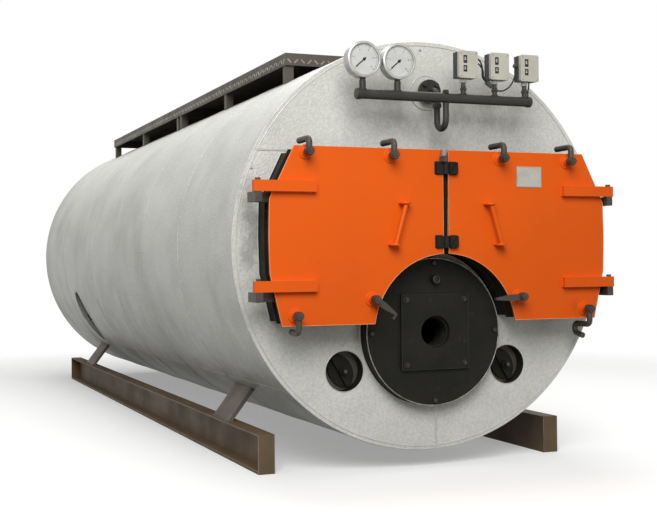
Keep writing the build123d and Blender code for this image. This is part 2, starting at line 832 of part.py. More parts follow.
with BuildPart() as sight_port:
    with BuildSketch(Plane.XZ.offset(furnace_front_face + fit_gap)):
        with Locations((0, sight_port_height)):
            Circle(sight_port_diameter / 2)
    extrude(amount=sight_port_length)
    with BuildSketch(Plane.XZ.offset(furnace_front_face + fit_gap + sight_port_length)):
        with Locations((0, sight_port_height)):
            Circle(sight_port_bore / 2)
    extrude(amount=-sight_port_recess, mode=Mode.SUBTRACT)
keep(sight_port, "sight_port")

# Hand hole covers behind the front cladding, each with its bridge, stud and nut
with BuildPart() as handhole_covers:
    cover_rear = tube_plate_front - fit_gap
    cover_face = cover_rear - handhole_cover_thickness
    bridge_width, bridge_length, bridge_thickness = handhole_bridge
    lean = math.radians(handhole_lean)
    for side in sides.values():
        rear_plane, face_plane = [
            Plane(
                origin=(side * handhole_half, depth, handhole_height),
                x_dir=(math.cos(lean), 0, math.sin(lean)),
                z_dir=(0, -1, 0),
            )
            for depth in (cover_rear, cover_face)
        ]
        with BuildSketch(rear_plane):
            Ellipse(handhole_cover[0] / 2, handhole_cover[1] / 2)
        extrude(amount=handhole_cover_thickness)
        with BuildSketch(face_plane):
            Rectangle(bridge_length, bridge_width)
        extrude(amount=bridge_thickness)
        with BuildSketch(face_plane):
            Circle(handhole_stud / 2)
        extrude(amount=bridge_thickness + 2 * handhole_stud)
        with BuildSketch(face_plane):
            RegularPolygon(handhole_nut_across / 2, 6)
        extrude(amount=bridge_thickness + handhole_stud)
keep(handhole_covers, "handhole_covers")

# Manhole on the left side: a ring on the shell, its cover and the bridge over it
with BuildPart() as manhole:
    with BuildSketch(manhole_plane.offset(-insulation)):
        Ellipse(manhole_ring[0] / 2 + manhole_ring_wall, manhole_ring[1] / 2 + manhole_ring_wall)
    extrude(amount=insulation + manhole_ring_rise)
    with BuildSketch(manhole_plane.offset(manhole_ring_rise - manhole_cover_thickness)):
        Ellipse(manhole_ring[0] / 2, manhole_ring[1] / 2)
    extrude(amount=manhole_cover_thickness + overrun, mode=Mode.SUBTRACT)
    with BuildSketch(manhole_plane.offset(manhole_ring_rise)):
        Rectangle(manhole_ring[0] + manhole_ring_wall, manhole_bridge_width)
    extrude(amount=manhole_bridge_thickness)
    with BuildSketch(manhole_plane.offset(manhole_ring_rise - manhole_cover_thickness)):
        RegularPolygon(manhole_nut_across / 2, 6, major_radius=False)
    extrude(amount=manhole_cover_thickness + manhole_bridge_thickness + manhole_nut_height)
    with BuildSketch(Plane.XZ.offset(-(manhole_place - clad_radius))):
        with Locations((0, axis_height)):
            Circle(shell_radius + fit_gap)
    extrude(amount=-clad_diameter, mode=Mode.SUBTRACT)
keep(manhole, "manhole")

# Gauge nozzle on the front, the siphon below the manifold and the instruments on it
with BuildPart() as gauge_nozzle:
    with BuildSketch(Plane.XZ.offset(-(tube_plate_front - fit_gap))):
        with Locations((0, nozzle_height)):
            Circle(nozzle_pipe / 2)
    extrude(amount=tube_plate_front + nozzle_flange_front - nozzle_flange_thickness)
    with BuildSketch(Plane.XZ.offset(nozzle_flange_front)):
        with Locations((0, nozzle_height)):
            Circle(nozzle_flange / 2)
    extrude(amount=-nozzle_flange_thickness)
keep(gauge_nozzle, "gauge_nozzle")

with BuildPart() as siphon:
    with BuildLine() as siphon_line:
        FilletPolyline(
            (0, -(nozzle_flange_front + fit_gap), nozzle_height),
            (0, -siphon_rear, nozzle_height),
            (0, -siphon_rear, siphon_bottom + siphon_diameter / 2),
            (0, -manifold_front, siphon_bottom + siphon_diameter / 2),
            (0, -manifold_front, manifold_height - manifold_diameter / 2 - fit_gap),
            radius=siphon_bend * siphon_bend_share,
        )
    with BuildSketch(Plane(origin=siphon_line.line @ 0, z_dir=siphon_line.line % 0)):
        Circle(siphon_diameter / 2)
    sweep()
keep(siphon, "siphon_pipe")

with BuildPart() as manifold:
    with BuildSketch(Plane.YZ.offset(-manifold_half)):
        with Locations((-manifold_front, manifold_height)):
            Circle(manifold_diameter / 2)
    extrude(amount=2 * manifold_half)
    stubs = (
        (gauge_places, gauge_stub_diameter, gauge_stub),
        (switch_places, switch_stub_diameter, switch_stub),
    )
    for places, diameter, rise in stubs:
        with BuildSketch(Plane.XY.offset(manifold_height)):
            with Locations(*[(across, -manifold_front) for across in places]):
                Circle(diameter / 2)
        extrude(amount=manifold_diameter / 2 + rise)
keep(manifold, "gauge_manifold")

with BuildPart() as gauges:
    for across in gauge_places:
        with BuildSketch(Plane.XZ.offset(manifold_front - gauge_depth / 2)):
            with Locations((across, gauge_height)):
                Circle(gauge_diameter / 2)
        extrude(amount=gauge_depth)
        with BuildSketch(Plane.XZ.offset(manifold_front + gauge_depth / 2)):
            with Locations((across, gauge_height)):
                Circle(gauge_diameter / 2 - gauge_bezel)
        extrude(amount=-gauge_recess, mode=Mode.SUBTRACT)
        with BuildSketch(Plane.XY.offset(manifold_top + gauge_stub + fit_gap)):
            with Locations((across, -manifold_front)):
                Circle(gauge_neck_diameter / 2)
        extrude(amount=gauge_neck + overrun)
keep(gauges, "pressure_gauges")

# Switches: ribbed bodies on their glands, with a cable funnel under the middle one
box_middles = [across + switch_offset for across in switch_places]
funnel_mouth_place = (switch_places[1] + funnel_place[0], switch_bottom - funnel_place[1])
boss_height = switch_bottom + cable_boss_rise
boss_face = box_middles[2] - switch_width / 2
with BuildPart() as switches:
    for across, middle in zip(switch_places, box_middles):
        with BuildSketch(Plane.XY.offset(switch_bottom)):
            with Locations((middle, -manifold_front)):
                Rectangle(switch_width, switch_body_depth)
                with GridLocations(switch_width, switch_rib_pitch, 2, switch_rib_count):
                    Rectangle(2 * switch_rib_depth, switch_rib_pitch / 2, mode=Mode.SUBTRACT)
        extrude(amount=switch_height)
        with BuildSketch(Plane.XY.offset(manifold_top + switch_stub + fit_gap)):
            with Locations((across, -manifold_front)):
                RegularPolygon(switch_gland / 2, 6, major_radius=False)
        extrude(amount=switch_gland_height + overrun)
    funnel_plane = Plane(
        origin=(funnel_mouth_place[0], -manifold_front, funnel_mouth_place[1]),
        z_dir=(funnel_reach[0], 0, -funnel_reach[1]),
    )
    with Locations(funnel_plane.location):
        Cone(
            funnel_mouth,
            funnel_foot,
            math.hypot(*funnel_reach),
            align=(Align.CENTER, Align.CENTER, Align.MIN),
        )
    with BuildSketch(Plane.YZ.offset(boss_face + overrun)):
        with Locations((-manifold_front, boss_height)):
            Circle(cable_boss_diameter / 2)
    extrude(amount=-(cable_boss_length + overrun))
keep(switches, "switch_bodies")

with BuildPart() as switch_covers:
    cover_rear = manifold_front + switch_body_depth / 2 + fit_gap
    for middle in box_middles:
        with BuildSketch(Plane.XZ.offset(cover_rear)):
            with Locations((middle, switch_middle)):
                RectangleRounded(switch_cover_width, switch_cover_height, switch_cover_corner)
        extrude(amount=switch_cover_depth)
        for place, height in zip(switch_window_places, switch_window_heights):
            with BuildSketch(Plane.XZ.offset(cover_rear + switch_cover_depth)):
                with Locations((middle + place[0], switch_middle + place[1])):
                    Rectangle(switch_window_width, height)
            extrude(amount=-switch_window_depth, mode=Mode.SUBTRACT)
keep(switch_covers, "switch_covers")

# Leads: a pair from the first switch to the funnel, a loop to the last one and a short one down
pair_start = box_middles[0] + switch_width / 2 + fit_gap
funnel_length = math.hypot(*funnel_reach)
funnel_run = (funnel_reach[0] / funnel_length, funnel_reach[1] / funnel_length)
pair_end = (
    funnel_mouth_place[0] - fit_gap * funnel_run[0],
    funnel_mouth_place[1] + fit_gap * funnel_run[1],
)
pair_turn = (pair_end[0] - pair_lead * funnel_run[0], pair_end[1] + pair_lead * funnel_run[1])
loop_start = switch_places[1] + switch_stub_diameter / 2 + fit_gap
loop_end = boss_face - cable_boss_length / 2
lead_end = switch_places[2] + lead_shift
pair_routes = []
for runs, rises in ((upper_runs, upper_rises), (lower_runs, lower_rises)):
    starts = [pair_start] + [pair_start + run for run in runs] + [pair_turn[0]]
    heights = [switch_bottom + rise for rise in rises]
    pair_routes.append(list(zip(starts, heights)) + [pair_turn, pair_end])
loop_route = [(loop_start + run, manifold_top + rise) for run, rise in zip(loop_runs, loop_rises)]
loop_route += [
    (loop_end, manifold_top + loop_turn_rise),
    (loop_end, boss_height - cable_boss_diameter / 2 - fit_gap),
]
lead_route = [
    (lead_end, switch_bottom - fit_gap),
    (lead_end, switch_bottom - lead_drops[0]),
    (lead_end - lead_bow, switch_bottom - lead_drops[1]),
    (lead_end - lead_bow, manifold_top + fit_gap),
]
cable_routes = (
    (pair_spread - manifold_front, pair_routes[0]),
    (-pair_spread - manifold_front, pair_routes[1]),
    (-manifold_front, loop_route),
    (-manifold_front, lead_route),
)
with BuildPart() as cables:
    for depth, route in cable_routes:
        path = [Vector(across, depth, height) for across, height in route]
        arcs = []
        for before, corner, after in zip(path, path[1:], path[2:]):
            run_in, run_out = corner - before, after - corner
            half_turn = math.radians(run_in.get_angle(run_out) / 2)
            arcs.append(cable_arc_share * min(run_in.length, run_out.length) / math.tan(half_turn))
        print("lead", depth, "arcs", [round(arc, 1) for arc in arcs])
        with BuildLine() as cable_line:
            FilletPolyline(*path, radius=arcs)
        with BuildSketch(Plane(origin=cable_line.line @ 0, z_dir=cable_line.line % 0)):
            Circle(cable_diameter / 2)
        sweep()
keep(cables, "switch_cables")

# Skids: channels with their open side outward and closed ends
for hand, side in sides.items():
    with BuildPart() as skid:
        with BuildSketch(Plane.XZ.offset(-skid_front)):
            with Locations((side * (skid_outer_half - skid_width / 2), skid_height / 2)):
                Rectangle(skid_width, skid_height)
        extrude(amount=-(skid_rear - skid_front))
        with BuildSketch(Plane.XZ.offset(-(skid_front + skid_wall))):
            with Locations((side * (skid_outer_half - skid_width / 2 + skid_wall), skid_height / 2)):
                Rectangle(skid_width, skid_height - 2 * skid_wall)
        extrude(amount=-(skid_rear - skid_front - 2 * skid_wall), mode=Mode.SUBTRACT)
    keep(skid, f"{hand}_skid")

# Legs: channels from the skids up to the barrel, their open side inward
with BuildPart() as legs:
    leg_head = axis_height - math.sqrt(clad_radius**2 - leg_head_half**2) + leg_sink
    leg_foot = skid_height + fit_gap
    leg_cuts = (
        (0, leg_width, leg_depth, Mode.ADD),
        (leg_wall, leg_width - 2 * leg_wall, leg_depth + overrun, Mode.SUBTRACT),
    )
    for side in sides.values():
        for place in leg_places:
            for outer, width, depth, mode in leg_cuts:
                with BuildSketch(Plane.XZ.offset(-(place - width / 2))):
                    with BuildLine():
                        Polyline(
                            (side * (leg_foot_half - outer), leg_foot),
                            (side * (leg_foot_half - depth), leg_foot),
                            (side * (leg_head_half - depth), leg_head),
                            (side * (leg_head_half - outer), leg_head),
                            close=True,
                        )
                    make_face()
                extrude(amount=-width, mode=mode)
    with BuildSketch(Plane.XZ):
        with Locations((0, axis_height)):
            Circle(clad_radius + fit_gap)
    extrude(amount=-barrel_length, mode=Mode.SUBTRACT)
keep(legs, "support_legs")

# Walkway over the barrel, in two sections on posts
deck_middle = (deck_front + deck_rear) / 2
section_spans = (
    (deck_front, deck_middle - deck_seam / 2),
    (deck_middle + deck_seam / 2, deck_rear),
)
with BuildPart() as deck:
    for start, stop in section_spans:
        with BuildSketch(Plane.XZ.offset(-start)):
            with Locations((0, deck_top - deck_fascia / 2)):
                Rectangle(2 * deck_half, deck_fascia)
        extrude(amount=-(stop - start))
        with BuildSketch(Plane.XZ.offset(-(start + deck_plate))):
            with Locations((0, deck_top - deck_plate - deck_fascia / 2)):
                Rectangle(2 * (deck_half - deck_plate), deck_fascia)
        extrude(amount=-(stop - start - 2 * deck_plate), mode=Mode.SUBTRACT)
    with BuildSketch(Plane.XZ):
        with Locations((0, axis_height)):
            Circle(clad_radius + fit_gap)
    extrude(amount=-barrel_length, mode=Mode.SUBTRACT)
keep(deck, "walkway_deck")

with BuildPart() as posts:
    post_across = deck_half - deck_plate - fit_gap - post_side / 2
    for start, stop in section_spans:
        first = start + deck_plate + post_end_inset
        last = stop - deck_plate - post_end_inset
        for place in (first, (first + last) / 2, last):
            for side in sides.values():
                with BuildSketch(Plane.XY.offset(axis_height)):
                    with Locations((side * post_across, place)):
                        Rectangle(post_side, post_side)
                    with Locations((side * (post_across - post_wall), place + post_wall)):
                        Rectangle(post_side, post_side, mode=Mode.SUBTRACT)
                extrude(amount=deck_top - deck_plate - fit_gap - axis_height)
    with BuildSketch(Plane.XZ):
        with Locations((0, axis_height)):
            Circle(clad_radius + fit_gap)
    extrude(amount=-barrel_length, mode=Mode.SUBTRACT)
keep(posts, "walkway_posts")

steam_bolt_start = full_turn / steam_bolt_count / 2
with BuildPart() as steam_nozzle:
    with BuildSketch(Plane.XY.offset(axis_height)):
        with Locations((0, steam_nozzle_place)):
            Circle(steam_pipe / 2)
            Circle(steam_pipe_bore / 2, mode=Mode.SUBTRACT)
    extrude(amount=steam_flange_top - steam_flange_thickness - axis_height)
    with BuildSketch(Plane.XY.offset(steam_flange_top)):
        with Locations((0, steam_nozzle_place)):
            Circle(steam_flange_diameter / 2)
            Circle(steam_pipe_bore / 2, mode=Mode.SUBTRACT)
            with PolarLocations(steam_bolt_circle / 2, steam_bolt_count, start_angle=steam_bolt_start):
                Circle(steam_bolt_hole / 2, mode=Mode.SUBTRACT)
    extrude(amount=-steam_flange_thickness)
    with BuildSketch(Plane.XZ):
        with Locations((0, axis_height)):
            Circle(shell_radius + fit_gap)
    extrude(amount=-barrel_length, mode=Mode.SUBTRACT)
keep(steam_nozzle, "steam_nozzle")
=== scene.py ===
"""Looks of a horizontal fire-tube boiler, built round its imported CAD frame.

It is laid out as an add-on and run as a script. Metres, +Z up, the front end faces -Y.
"""

import math

import bmesh
import bpy
import numpy as np
from bpy.props import FloatProperty, FloatVectorProperty, IntProperty, PointerProperty
from mathutils import Matrix, Vector


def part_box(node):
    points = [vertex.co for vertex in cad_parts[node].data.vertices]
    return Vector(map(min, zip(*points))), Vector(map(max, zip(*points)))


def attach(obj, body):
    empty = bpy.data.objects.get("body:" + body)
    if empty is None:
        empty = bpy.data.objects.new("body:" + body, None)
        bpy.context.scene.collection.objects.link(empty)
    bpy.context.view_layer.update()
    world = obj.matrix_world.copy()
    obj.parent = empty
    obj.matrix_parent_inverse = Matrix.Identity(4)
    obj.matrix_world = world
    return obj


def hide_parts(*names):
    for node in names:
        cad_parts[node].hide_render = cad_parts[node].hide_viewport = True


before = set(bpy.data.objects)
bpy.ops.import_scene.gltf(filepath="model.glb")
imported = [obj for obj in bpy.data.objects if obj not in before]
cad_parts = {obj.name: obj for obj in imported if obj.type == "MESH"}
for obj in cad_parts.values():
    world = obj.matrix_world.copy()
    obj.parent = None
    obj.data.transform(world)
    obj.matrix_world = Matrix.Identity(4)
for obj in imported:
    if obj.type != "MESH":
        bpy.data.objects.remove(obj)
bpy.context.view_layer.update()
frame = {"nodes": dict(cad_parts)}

bl_info = {
    "name": "Fire-tube boiler looks",
    "version": (1, 0, 0),
    "blender": (4, 5, 0),
    "location": "View3D > Sidebar > Boiler",
    "description": "Dresses the packed boiler: cladding seams, door fittings, instruments, tread plate and finishes",
    "category": "Object",
}

RIGHT, BACK, UP, FORWARD = (1, 0, 0), (0, 1, 0), (0, 0, 1), (0, -1, 0)
FULL_TURN = 2 * math.pi
SIDES = {"left": -1, "right": 1}
CORNERS = np.array([(1, 1), (-1, 1), (-1, -1), (1, -1)])

# Planes and centres read from the frame. Depths are metres in front of the front cladding
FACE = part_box("front_cladding_lower")[0].y
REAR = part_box("rear_cladding")[1].y
BARREL_LOW, BARREL_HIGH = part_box("barrel_cladding")
AXIS_Z = (BARREL_LOW.z + BARREL_HIGH.z) / 2
CLAD_RADIUS = (BARREL_HIGH.z - BARREL_LOW.z) / 2
DOOR_FACE = 0.186
TUBE_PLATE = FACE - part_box("front_tube_plate")[0].y
FURNACE_LOW, FURNACE_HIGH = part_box("furnace_front")
FURNACE_Z = (FURNACE_LOW.z + FURNACE_HIGH.z) / 2
FURNACE_RADIUS = FURNACE_HIGH.x
FURNACE_FACE = FACE - FURNACE_LOW.y
BURNER_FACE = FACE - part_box("burner_plate")[0].y

# Cladding: distances along the barrel from its front face, heights, angles round its axis
BAND_SEAMS = (0.905, 1.690, 2.470, 3.260, 4.332)
SPLIT_HEIGHT = 1.383
HAND_HOLE = (0.400, 0.440, 0.089)
MANHOLE_ALONG, MANHOLE_LEAN, MANHOLE_HALF = 3.990, math.radians(210.5), (0.150, 0.215)
STEAM_ALONG, STEAM_RADIUS = 4.740, 0.0705
FLUE_Z, FLUE_RADIUS = 1.150, 0.2015
LAP_LEAN, FAR_LAP_LEAN = math.radians(224), math.radians(-44)
FACE_SCREWS = ((-0.024, 1.845), (-0.812, 1.305), (-0.406, 0.551), (0.406, 0.551))

# Doors, right-hand side: outline in x and z, fittings
DOOR_TOP, DOOR_FOOT, DOOR_ARCH = 1.385, 0.650, 0.340
DOOR_EDGE = ((DOOR_FOOT, 0.747), (0.862, 0.797), (1.015, 0.801), (1.168, 0.797), (DOOR_TOP, 0.689))
DOOR_SEAM = 0.013
ARCH_POINTS = 16
BOSSES = {
    "left": ((0.641, 1.359), (0.262, 1.353), (0.692, 0.692), (0.350, 0.752)),
    "right": ((0.603, 1.348), (0.262, 1.353), (0.692, 0.692), (0.350, 0.752)),
}
ARM_START = {"left": 0.601, "right": 0.578}
ARM_HEIGHTS = (1.218, 0.812)
HANDLE_ENDS = ((0.203, 1.154), (0.253, 0.979))
LUG_HEIGHTS = (1.307, 0.992)
PLATE = (0.411, 1.277, 0.125, 0.090)
LINING_PINS = (
    (0.15, 1.25), (0.40, 1.25), (0.62, 1.22), (0.15, 1.08), (0.40, 1.05), (0.66, 1.00), (0.66, 0.78), (0.49, 0.86),
)

# Instruments: places across the front, depths in front of the cladding
PIPE_FRONT, PIPE_Z, PIPE_RADIUS, PIPE_HALF = 0.194, 1.607, 0.0212, 0.415
GAUGE_STUBS, SWITCH_STUBS = (-0.388, -0.228), (0.085, 0.239, 0.388)
STUB_RADII = (0.014, 0.011)
GAUGE_NECK, GLAND_FOOT = 1.6640, 1.6618
SWITCH_MIDDLES = (0.0915, 0.2455, 0.3945)
SWITCH_Z = 1.750
LEAD_EXITS = ((0.1358, 0.1898, 1.789), (0.1358, 0.1982, 1.764))
NOZZLE_Z = 1.656

# Frame
LEG_ALONG, LEG_HALF = (0.752, 4.200), 0.125
LEG_FOOT, LEG_HEAD, LEG_DEPTH = 0.732, 0.606, 0.024
SKID_OUTER, SKID_TOP, SKID_WALL, SKID_FLANGE = 0.749, 0.170, 0.012, 0.074
SKID_SPAN = (0.130, 4.900)

# Painted shade and soot on the cladding, beside the doors and under the gauge pipe: middle, half sizes and strength of
# each blot
SHADE_AND_SOOT = (
    ((-0.80, FACE, 1.05), (0.11, 0.2, 0.45), 0.55),
    ((0.10, FACE, 1.53), (0.60, 0.2, 0.12), 0.40),
    ((0.83, FACE, 1.00), (0.10, 0.2, 0.45), 0.60),
)
SMOOTH = {"interpolation_type": "SMOOTHSTEP"}

# Material slot of each finish, where a piece names no other
SLOTS = {
    "stucco_aluminium": "cladding_sheet", "bright_sheet": "cladding_sheet", "rubbed_and_highlit_enamel": "door_paint",
    "orange_enamel": "door_paint", "heat_black": "black_paint", "pipe_black": "black_paint",
    "ink_black": "black_paint", "rubbed_and_highlit_steel": "black_paint", "glass_rope": "lining_board",
    "forged_iron": "raw_steel", "boiler_plate": "raw_steel", "weld_metal": "raw_steel",
    "zinc_steel": "bright_steel", "dial_enamel": "instrument_case", "gauge_glass": "instrument_case",
    "tread_bars": "frame_primer", "rubbed_and_highlit_primer": "frame_primer", "grey_primer": "leg_primer",
}


def linear(code):
    """Linear colour of an sRGB hex value: the low part divided by 12.92, the rest on the 2.4 power."""
    srgb = np.array([int(code[i:i + 2], 16) for i in (1, 3, 5)]) / 255
    return tuple(float(v) for v in np.where(srgb <= 0.04045, srgb / 12.92, ((srgb + 0.055) / 1.055) ** 2.4))


def length(name, description, default):
    """A length property in metres."""
    return FloatProperty(name=name, description=description, default=default, min=0, unit="LENGTH")


def colour(name, description, code):
    """A colour property, given by its sRGB hex value."""
    shade = linear(code)
    return FloatVectorProperty(name=name, description=description, default=shade, subtype="COLOR", min=0, max=1)


def number(name, description, default, subtype="NONE"):
    """A property that is a plain number or, with the subtype ANGLE, an angle in radians."""
    return FloatProperty(name=name, description=description, default=default, subtype=subtype)


class CladdingSettings(bpy.types.PropertyGroup):
    """Sizes of the cladding's seams and rivets."""
    bead_width: length("Bead width", "Width of the swaged bead beside each band seam", 0.009)
    bead_height: length("Bead height", "Height of that bead over the sheet", 0.0022)
    rivet: length("Rivet diameter", "Diameter of a blind rivet's head", 0.009)
    screw: length("Screw diameter", "Diameter of a sheet screw's washer", 0.013)
    rivet_pitch: length("Rivet pitch", "Distance between rivets along a seam", 0.155)
    rim: length("Rim radius", "Radius of the rolled edge round both ends", 0.005)
    fold: length("Fold radius", "Radius of the folded edges of cut-outs", 0.0022)
    sheet: colour("Sheet", "Stucco-embossed aluminium", "#D8D8D1")
    smudge: colour("Smudge", "Soot and grease on the sheet", "#9B9A92")


class DoorSettings(bpy.types.PropertyGroup):
    """Colours and fittings of the smokebox doors."""
    paint: colour("Paint", "Orange enamel of the doors", "#E45C06")
    shade: colour("Paint shade", "Enamel where it is thin or faded", "#DC5706")
    weld: length("Weld leg", "Leg of the fillet welds on the doors", 0.005)
    edge: length("Edge radius", "Radius of the doors' worn edges", 0.0014)
    rope: length("Seal width", "Width of the woven seal rope", 0.014)


class FurnaceSettings(bpy.types.PropertyGroup):
    """Sizes of the bolts on the furnace front."""
    bolt: length("Bolt width", "Width across flats of the burner plate's bolts", 0.017)
    bolt_half: length("Bolt place", "Distance of those bolts from the plate's middle", 0.140)
    rim_bolt: length("Rim bolt width", "Width across flats of the rim's bolts", 0.019)
    paint: colour("Paint", "Heat-resistant black", "#191915")


class GaugeSettings(bpy.types.PropertyGroup):
    """Sizes and colours of the two pressure gauges."""
    bezel: length("Bezel width", "Width of the bezel ring", 0.011)
    pointer: length("Pointer length", "Reach of the pointer from the hub", 0.050)
    numeral: length("Numeral height", "Height of the scale's numbers", 0.010)
    ticks: IntProperty(name="Ticks", description="Marks on the scale", default=51, min=2)
    sweep: number("Scale sweep", "Angle of the scale", math.radians(270), "ANGLE")
    reading: number("Reading", "Angle of the pointer under the level line", math.radians(41), "ANGLE")
    dial: colour("Dial", "Enamelled dial", "#DBDCD8")


class PipeSettings(bpy.types.PropertyGroup):
    """Sizes of the fittings on the gauge pipes."""
    union: length("Union width", "Width across flats of the siphon's union nuts", 0.034)
    flange_bolt: length("Flange bolt width", "Width across flats of the nozzle flange's bolts", 0.019)
    weld: length("Weld leg", "Leg of the welds on the pipes", 0.003)
    paint: colour("Paint", "Black paint on threaded pipe", "#2A2926")


class SwitchSettings(bpy.types.PropertyGroup):
    """Sizes and colours of the pressure switches."""
    screw: length("Screw diameter", "Diameter of a cover screw's head", 0.0075)
    sleeve: length("Sleeve width", "Width across flats of the sleeve under a switch", 0.027)
    ring: length("Ring radius", "Radius of the knurled ring on a stub", 0.0135)
    cover: colour("Cover", "Moulded cover", "#B1AFA1")


class DeckSettings(bpy.types.PropertyGroup):
    """Sizes of the tread plate's raised bars."""
    pitch: length("Pitch", "Distance between the bars of a tread plate", 0.034)
    bar: length("Bar length", "Length of one raised bar", 0.030)
    bar_width: length("Bar width", "Width of one raised bar", 0.009)
    rise: length("Rise", "Height of a bar over the plate", 0.0026)
    fascia: length("Side height", "Height of the plate's turned-down side", 0.058)
    steel: colour("Steel", "Tread plate under dust", "#454037")


class FrameSettings(bpy.types.PropertyGroup):
    """Colours and welds of the skids and legs."""
    weld: length("Weld leg", "Leg of the fillet welds on skids and legs", 0.006)
    primer: colour("Skid primer", "Brown primer of the skids", "#6E5941")
    leg: colour("Leg primer", "Grey primer of the legs", "#71675D")


class StageSettings(bpy.types.PropertyGroup):
    """Floor, light and camera."""
    floor: colour("Floor", "Pale studio floor", "#E0E0DE")
    bounce: colour("Floor bounce", "Colour of the light that the floor throws back", "#3A3A37")
    focal: number("Focal length", "Lens in millimetres on a 36 mm sensor", 63.65)
    sky: number("Sky light", "Strength of the even light from all round", 0.30)
    key: number("Key light", "Power of the big soft lamp in watts", 425.0)
    top: number("Top light", "Power of the soft lamp overhead in watts", 260.0)
    lift: number("Floor lift", "Paleness that the floor has by itself", 0.31)


class BoilerSettings(bpy.types.PropertyGroup):
    """All settings of the boiler's looks."""
    cladding: PointerProperty(type=CladdingSettings, name="Cladding", description="Cladding seams and rivets")
    doors: PointerProperty(type=DoorSettings, name="Doors", description="Smokebox doors")
    furnace: PointerProperty(type=FurnaceSettings, name="Furnace front", description="Furnace front bolts")
    gauges: PointerProperty(type=GaugeSettings, name="Gauges", description="Pressure gauges")
    pipes: PointerProperty(type=PipeSettings, name="Pipes", description="Gauge pipes and their fittings")
    switches: PointerProperty(type=SwitchSettings, name="Switches", description="Pressure switches")
    deck: PointerProperty(type=DeckSettings, name="Walkway", description="Tread plate")
    frame: PointerProperty(type=FrameSettings, name="Frame", description="Skids and legs")
    stage: PointerProperty(type=StageSettings, name="Stage", description="Floor, light and camera")


def front(places, depth):
    """Points in front of the cladding's face: (x, z) of each place, depth metres out towards -Y."""
    places = np.atleast_2d(np.asarray(places, float))
    return np.stack([places[:, 0], np.full(len(places), FACE - depth), places[:, 1]], -1)


def spread(radius, turn, middle=(0, 0)):
    """Places (x, z) round a middle: x = a + r cos t, z = b + r sin t."""
    return np.stack([middle[0] + radius * np.cos(turn), middle[1] + radius * np.sin(turn)], -1)


def on_barrel(along, around, height, lean):
    """Points over the barrel's sheet: axis + n sqrt((R + h)^2 - v^2) + t v, y metres from its front face.

    n is the outward direction at the lean angle, t the one round the barrel, v the chord from that line.
    """
    along, around, height = np.broadcast_arrays(*(np.asarray(v, float) for v in (along, around, height)))
    outward = np.sqrt((CLAD_RADIUS + height) ** 2 - around ** 2)
    across = math.cos(lean) * outward - math.sin(lean) * around
    upward = math.sin(lean) * outward + math.cos(lean) * around
    return np.stack([across, FACE + along, AXIS_Z + upward], -1)


def out_of(lean):
    """Unit vector out of the barrel at a lean angle, or one for each angle."""
    return np.stack([np.cos(lean), np.zeros_like(lean, dtype=float), np.sin(lean)], -1)


def turned(profile, sides=24):
    """Grid of a turned body: each (radius, height) of the profile goes round +Z, x = r cos a, y = r sin a."""
    angle = np.arange(sides) * FULL_TURN / sides
    ring = np.stack([np.cos(angle), np.sin(angle), np.zeros(sides)], -1)
    radius, height = np.asarray(profile, float).T
    return radius[:, None, None] * ring + height[:, None, None] * np.array(UP, float)


def hexagon(across, height, chamfer=0.12):
    """Grid of a hexagon head or nut: a turned body of six sides, chamfered at its top."""
    corner = across / math.sqrt(3)
    profile = [(0, 0), (corner, 0), (corner, height * (1 - chamfer)), (corner * 0.88, height), (0, height)]
    return turned(profile, 6)


def disc(radius, height, sides=24, bevel=0.0006):
    """Grid of a round plate or washer with its upper edge taken off."""
    edge = min(bevel, height / 2, radius / 2)
    return turned([(0, 0), (radius, 0), (radius, height - edge), (radius - edge, height), (0, height)], sides)


def domed(radius, height, sides=10):
    """Grid of a rivet head: r = R cos t, z = H sin t for t from 0 to a quarter turn, on a short skirt."""
    t = np.linspace(0, np.pi / 2, 4)
    rows = [(0, -height * 0.3), (radius, -height * 0.3)] + list(zip(radius * np.cos(t), height * np.sin(t)))
    return turned(rows, sides)


def knurled(radius, height, teeth=20, depth=0.05):
    """Grid of a knurled ring: a turned body whose radius is R (1 + d cos(n a)), plain at its two ends."""
    grid = turned([(0, 0), (0.9, 0), (1, 0.15), (1, 0.85), (0.9, 1), (0, 1)], teeth * 4)
    wave = 1 + depth * np.cos(np.arange(teeth * 4) * np.pi / 2)
    return grid * np.stack([radius * wave, radius * wave, np.full(teeth * 4, height)], -1)


def slab(width, height, corner, profile, steps=4):
    """Grid of a flat body with rounded corners: its outline shrinks by each row's inset, at that row's z.

    The outline at inset d is the rounded rectangle of half sizes w - d and h - d and corner radius c - d.
    """
    quarter = np.linspace(0, np.pi / 2, steps)
    angle = np.concatenate([quarter + k * np.pi / 2 for k in range(4)])
    sign = np.repeat(CORNERS, steps, 0)
    half = np.array([width / 2, height / 2])
    rows = []
    for inset, z in profile:
        centre = sign * np.maximum(half - max(corner, inset), 0)
        ring = centre + spread(max(corner - inset, 0.0), angle)
        rows.append(np.column_stack([ring, np.full(len(ring), z)]))
    rows = np.array(rows)
    return np.concatenate([rows[:1] * UP, rows, rows[-1:] * UP])


def strip(width, height, low, high):
    """Grid of a thin bar with square edges between two heights."""
    return slab(width, height, 0.0, [(0, low), (0, high)], 2)


def lapped(width, height, top, bevel):
    """Grid of a strip of sheet that lies on another, its upper edge taken off, its foot 1 mm in the sheet."""
    return slab(width, height, 0.0, [(0, -0.001), (0, top - bevel), (bevel, top)], 2)


def circle(radius, sides=8):
    """Profile of a round bar."""
    return spread(radius, np.arange(sides) * FULL_TURN / sides)


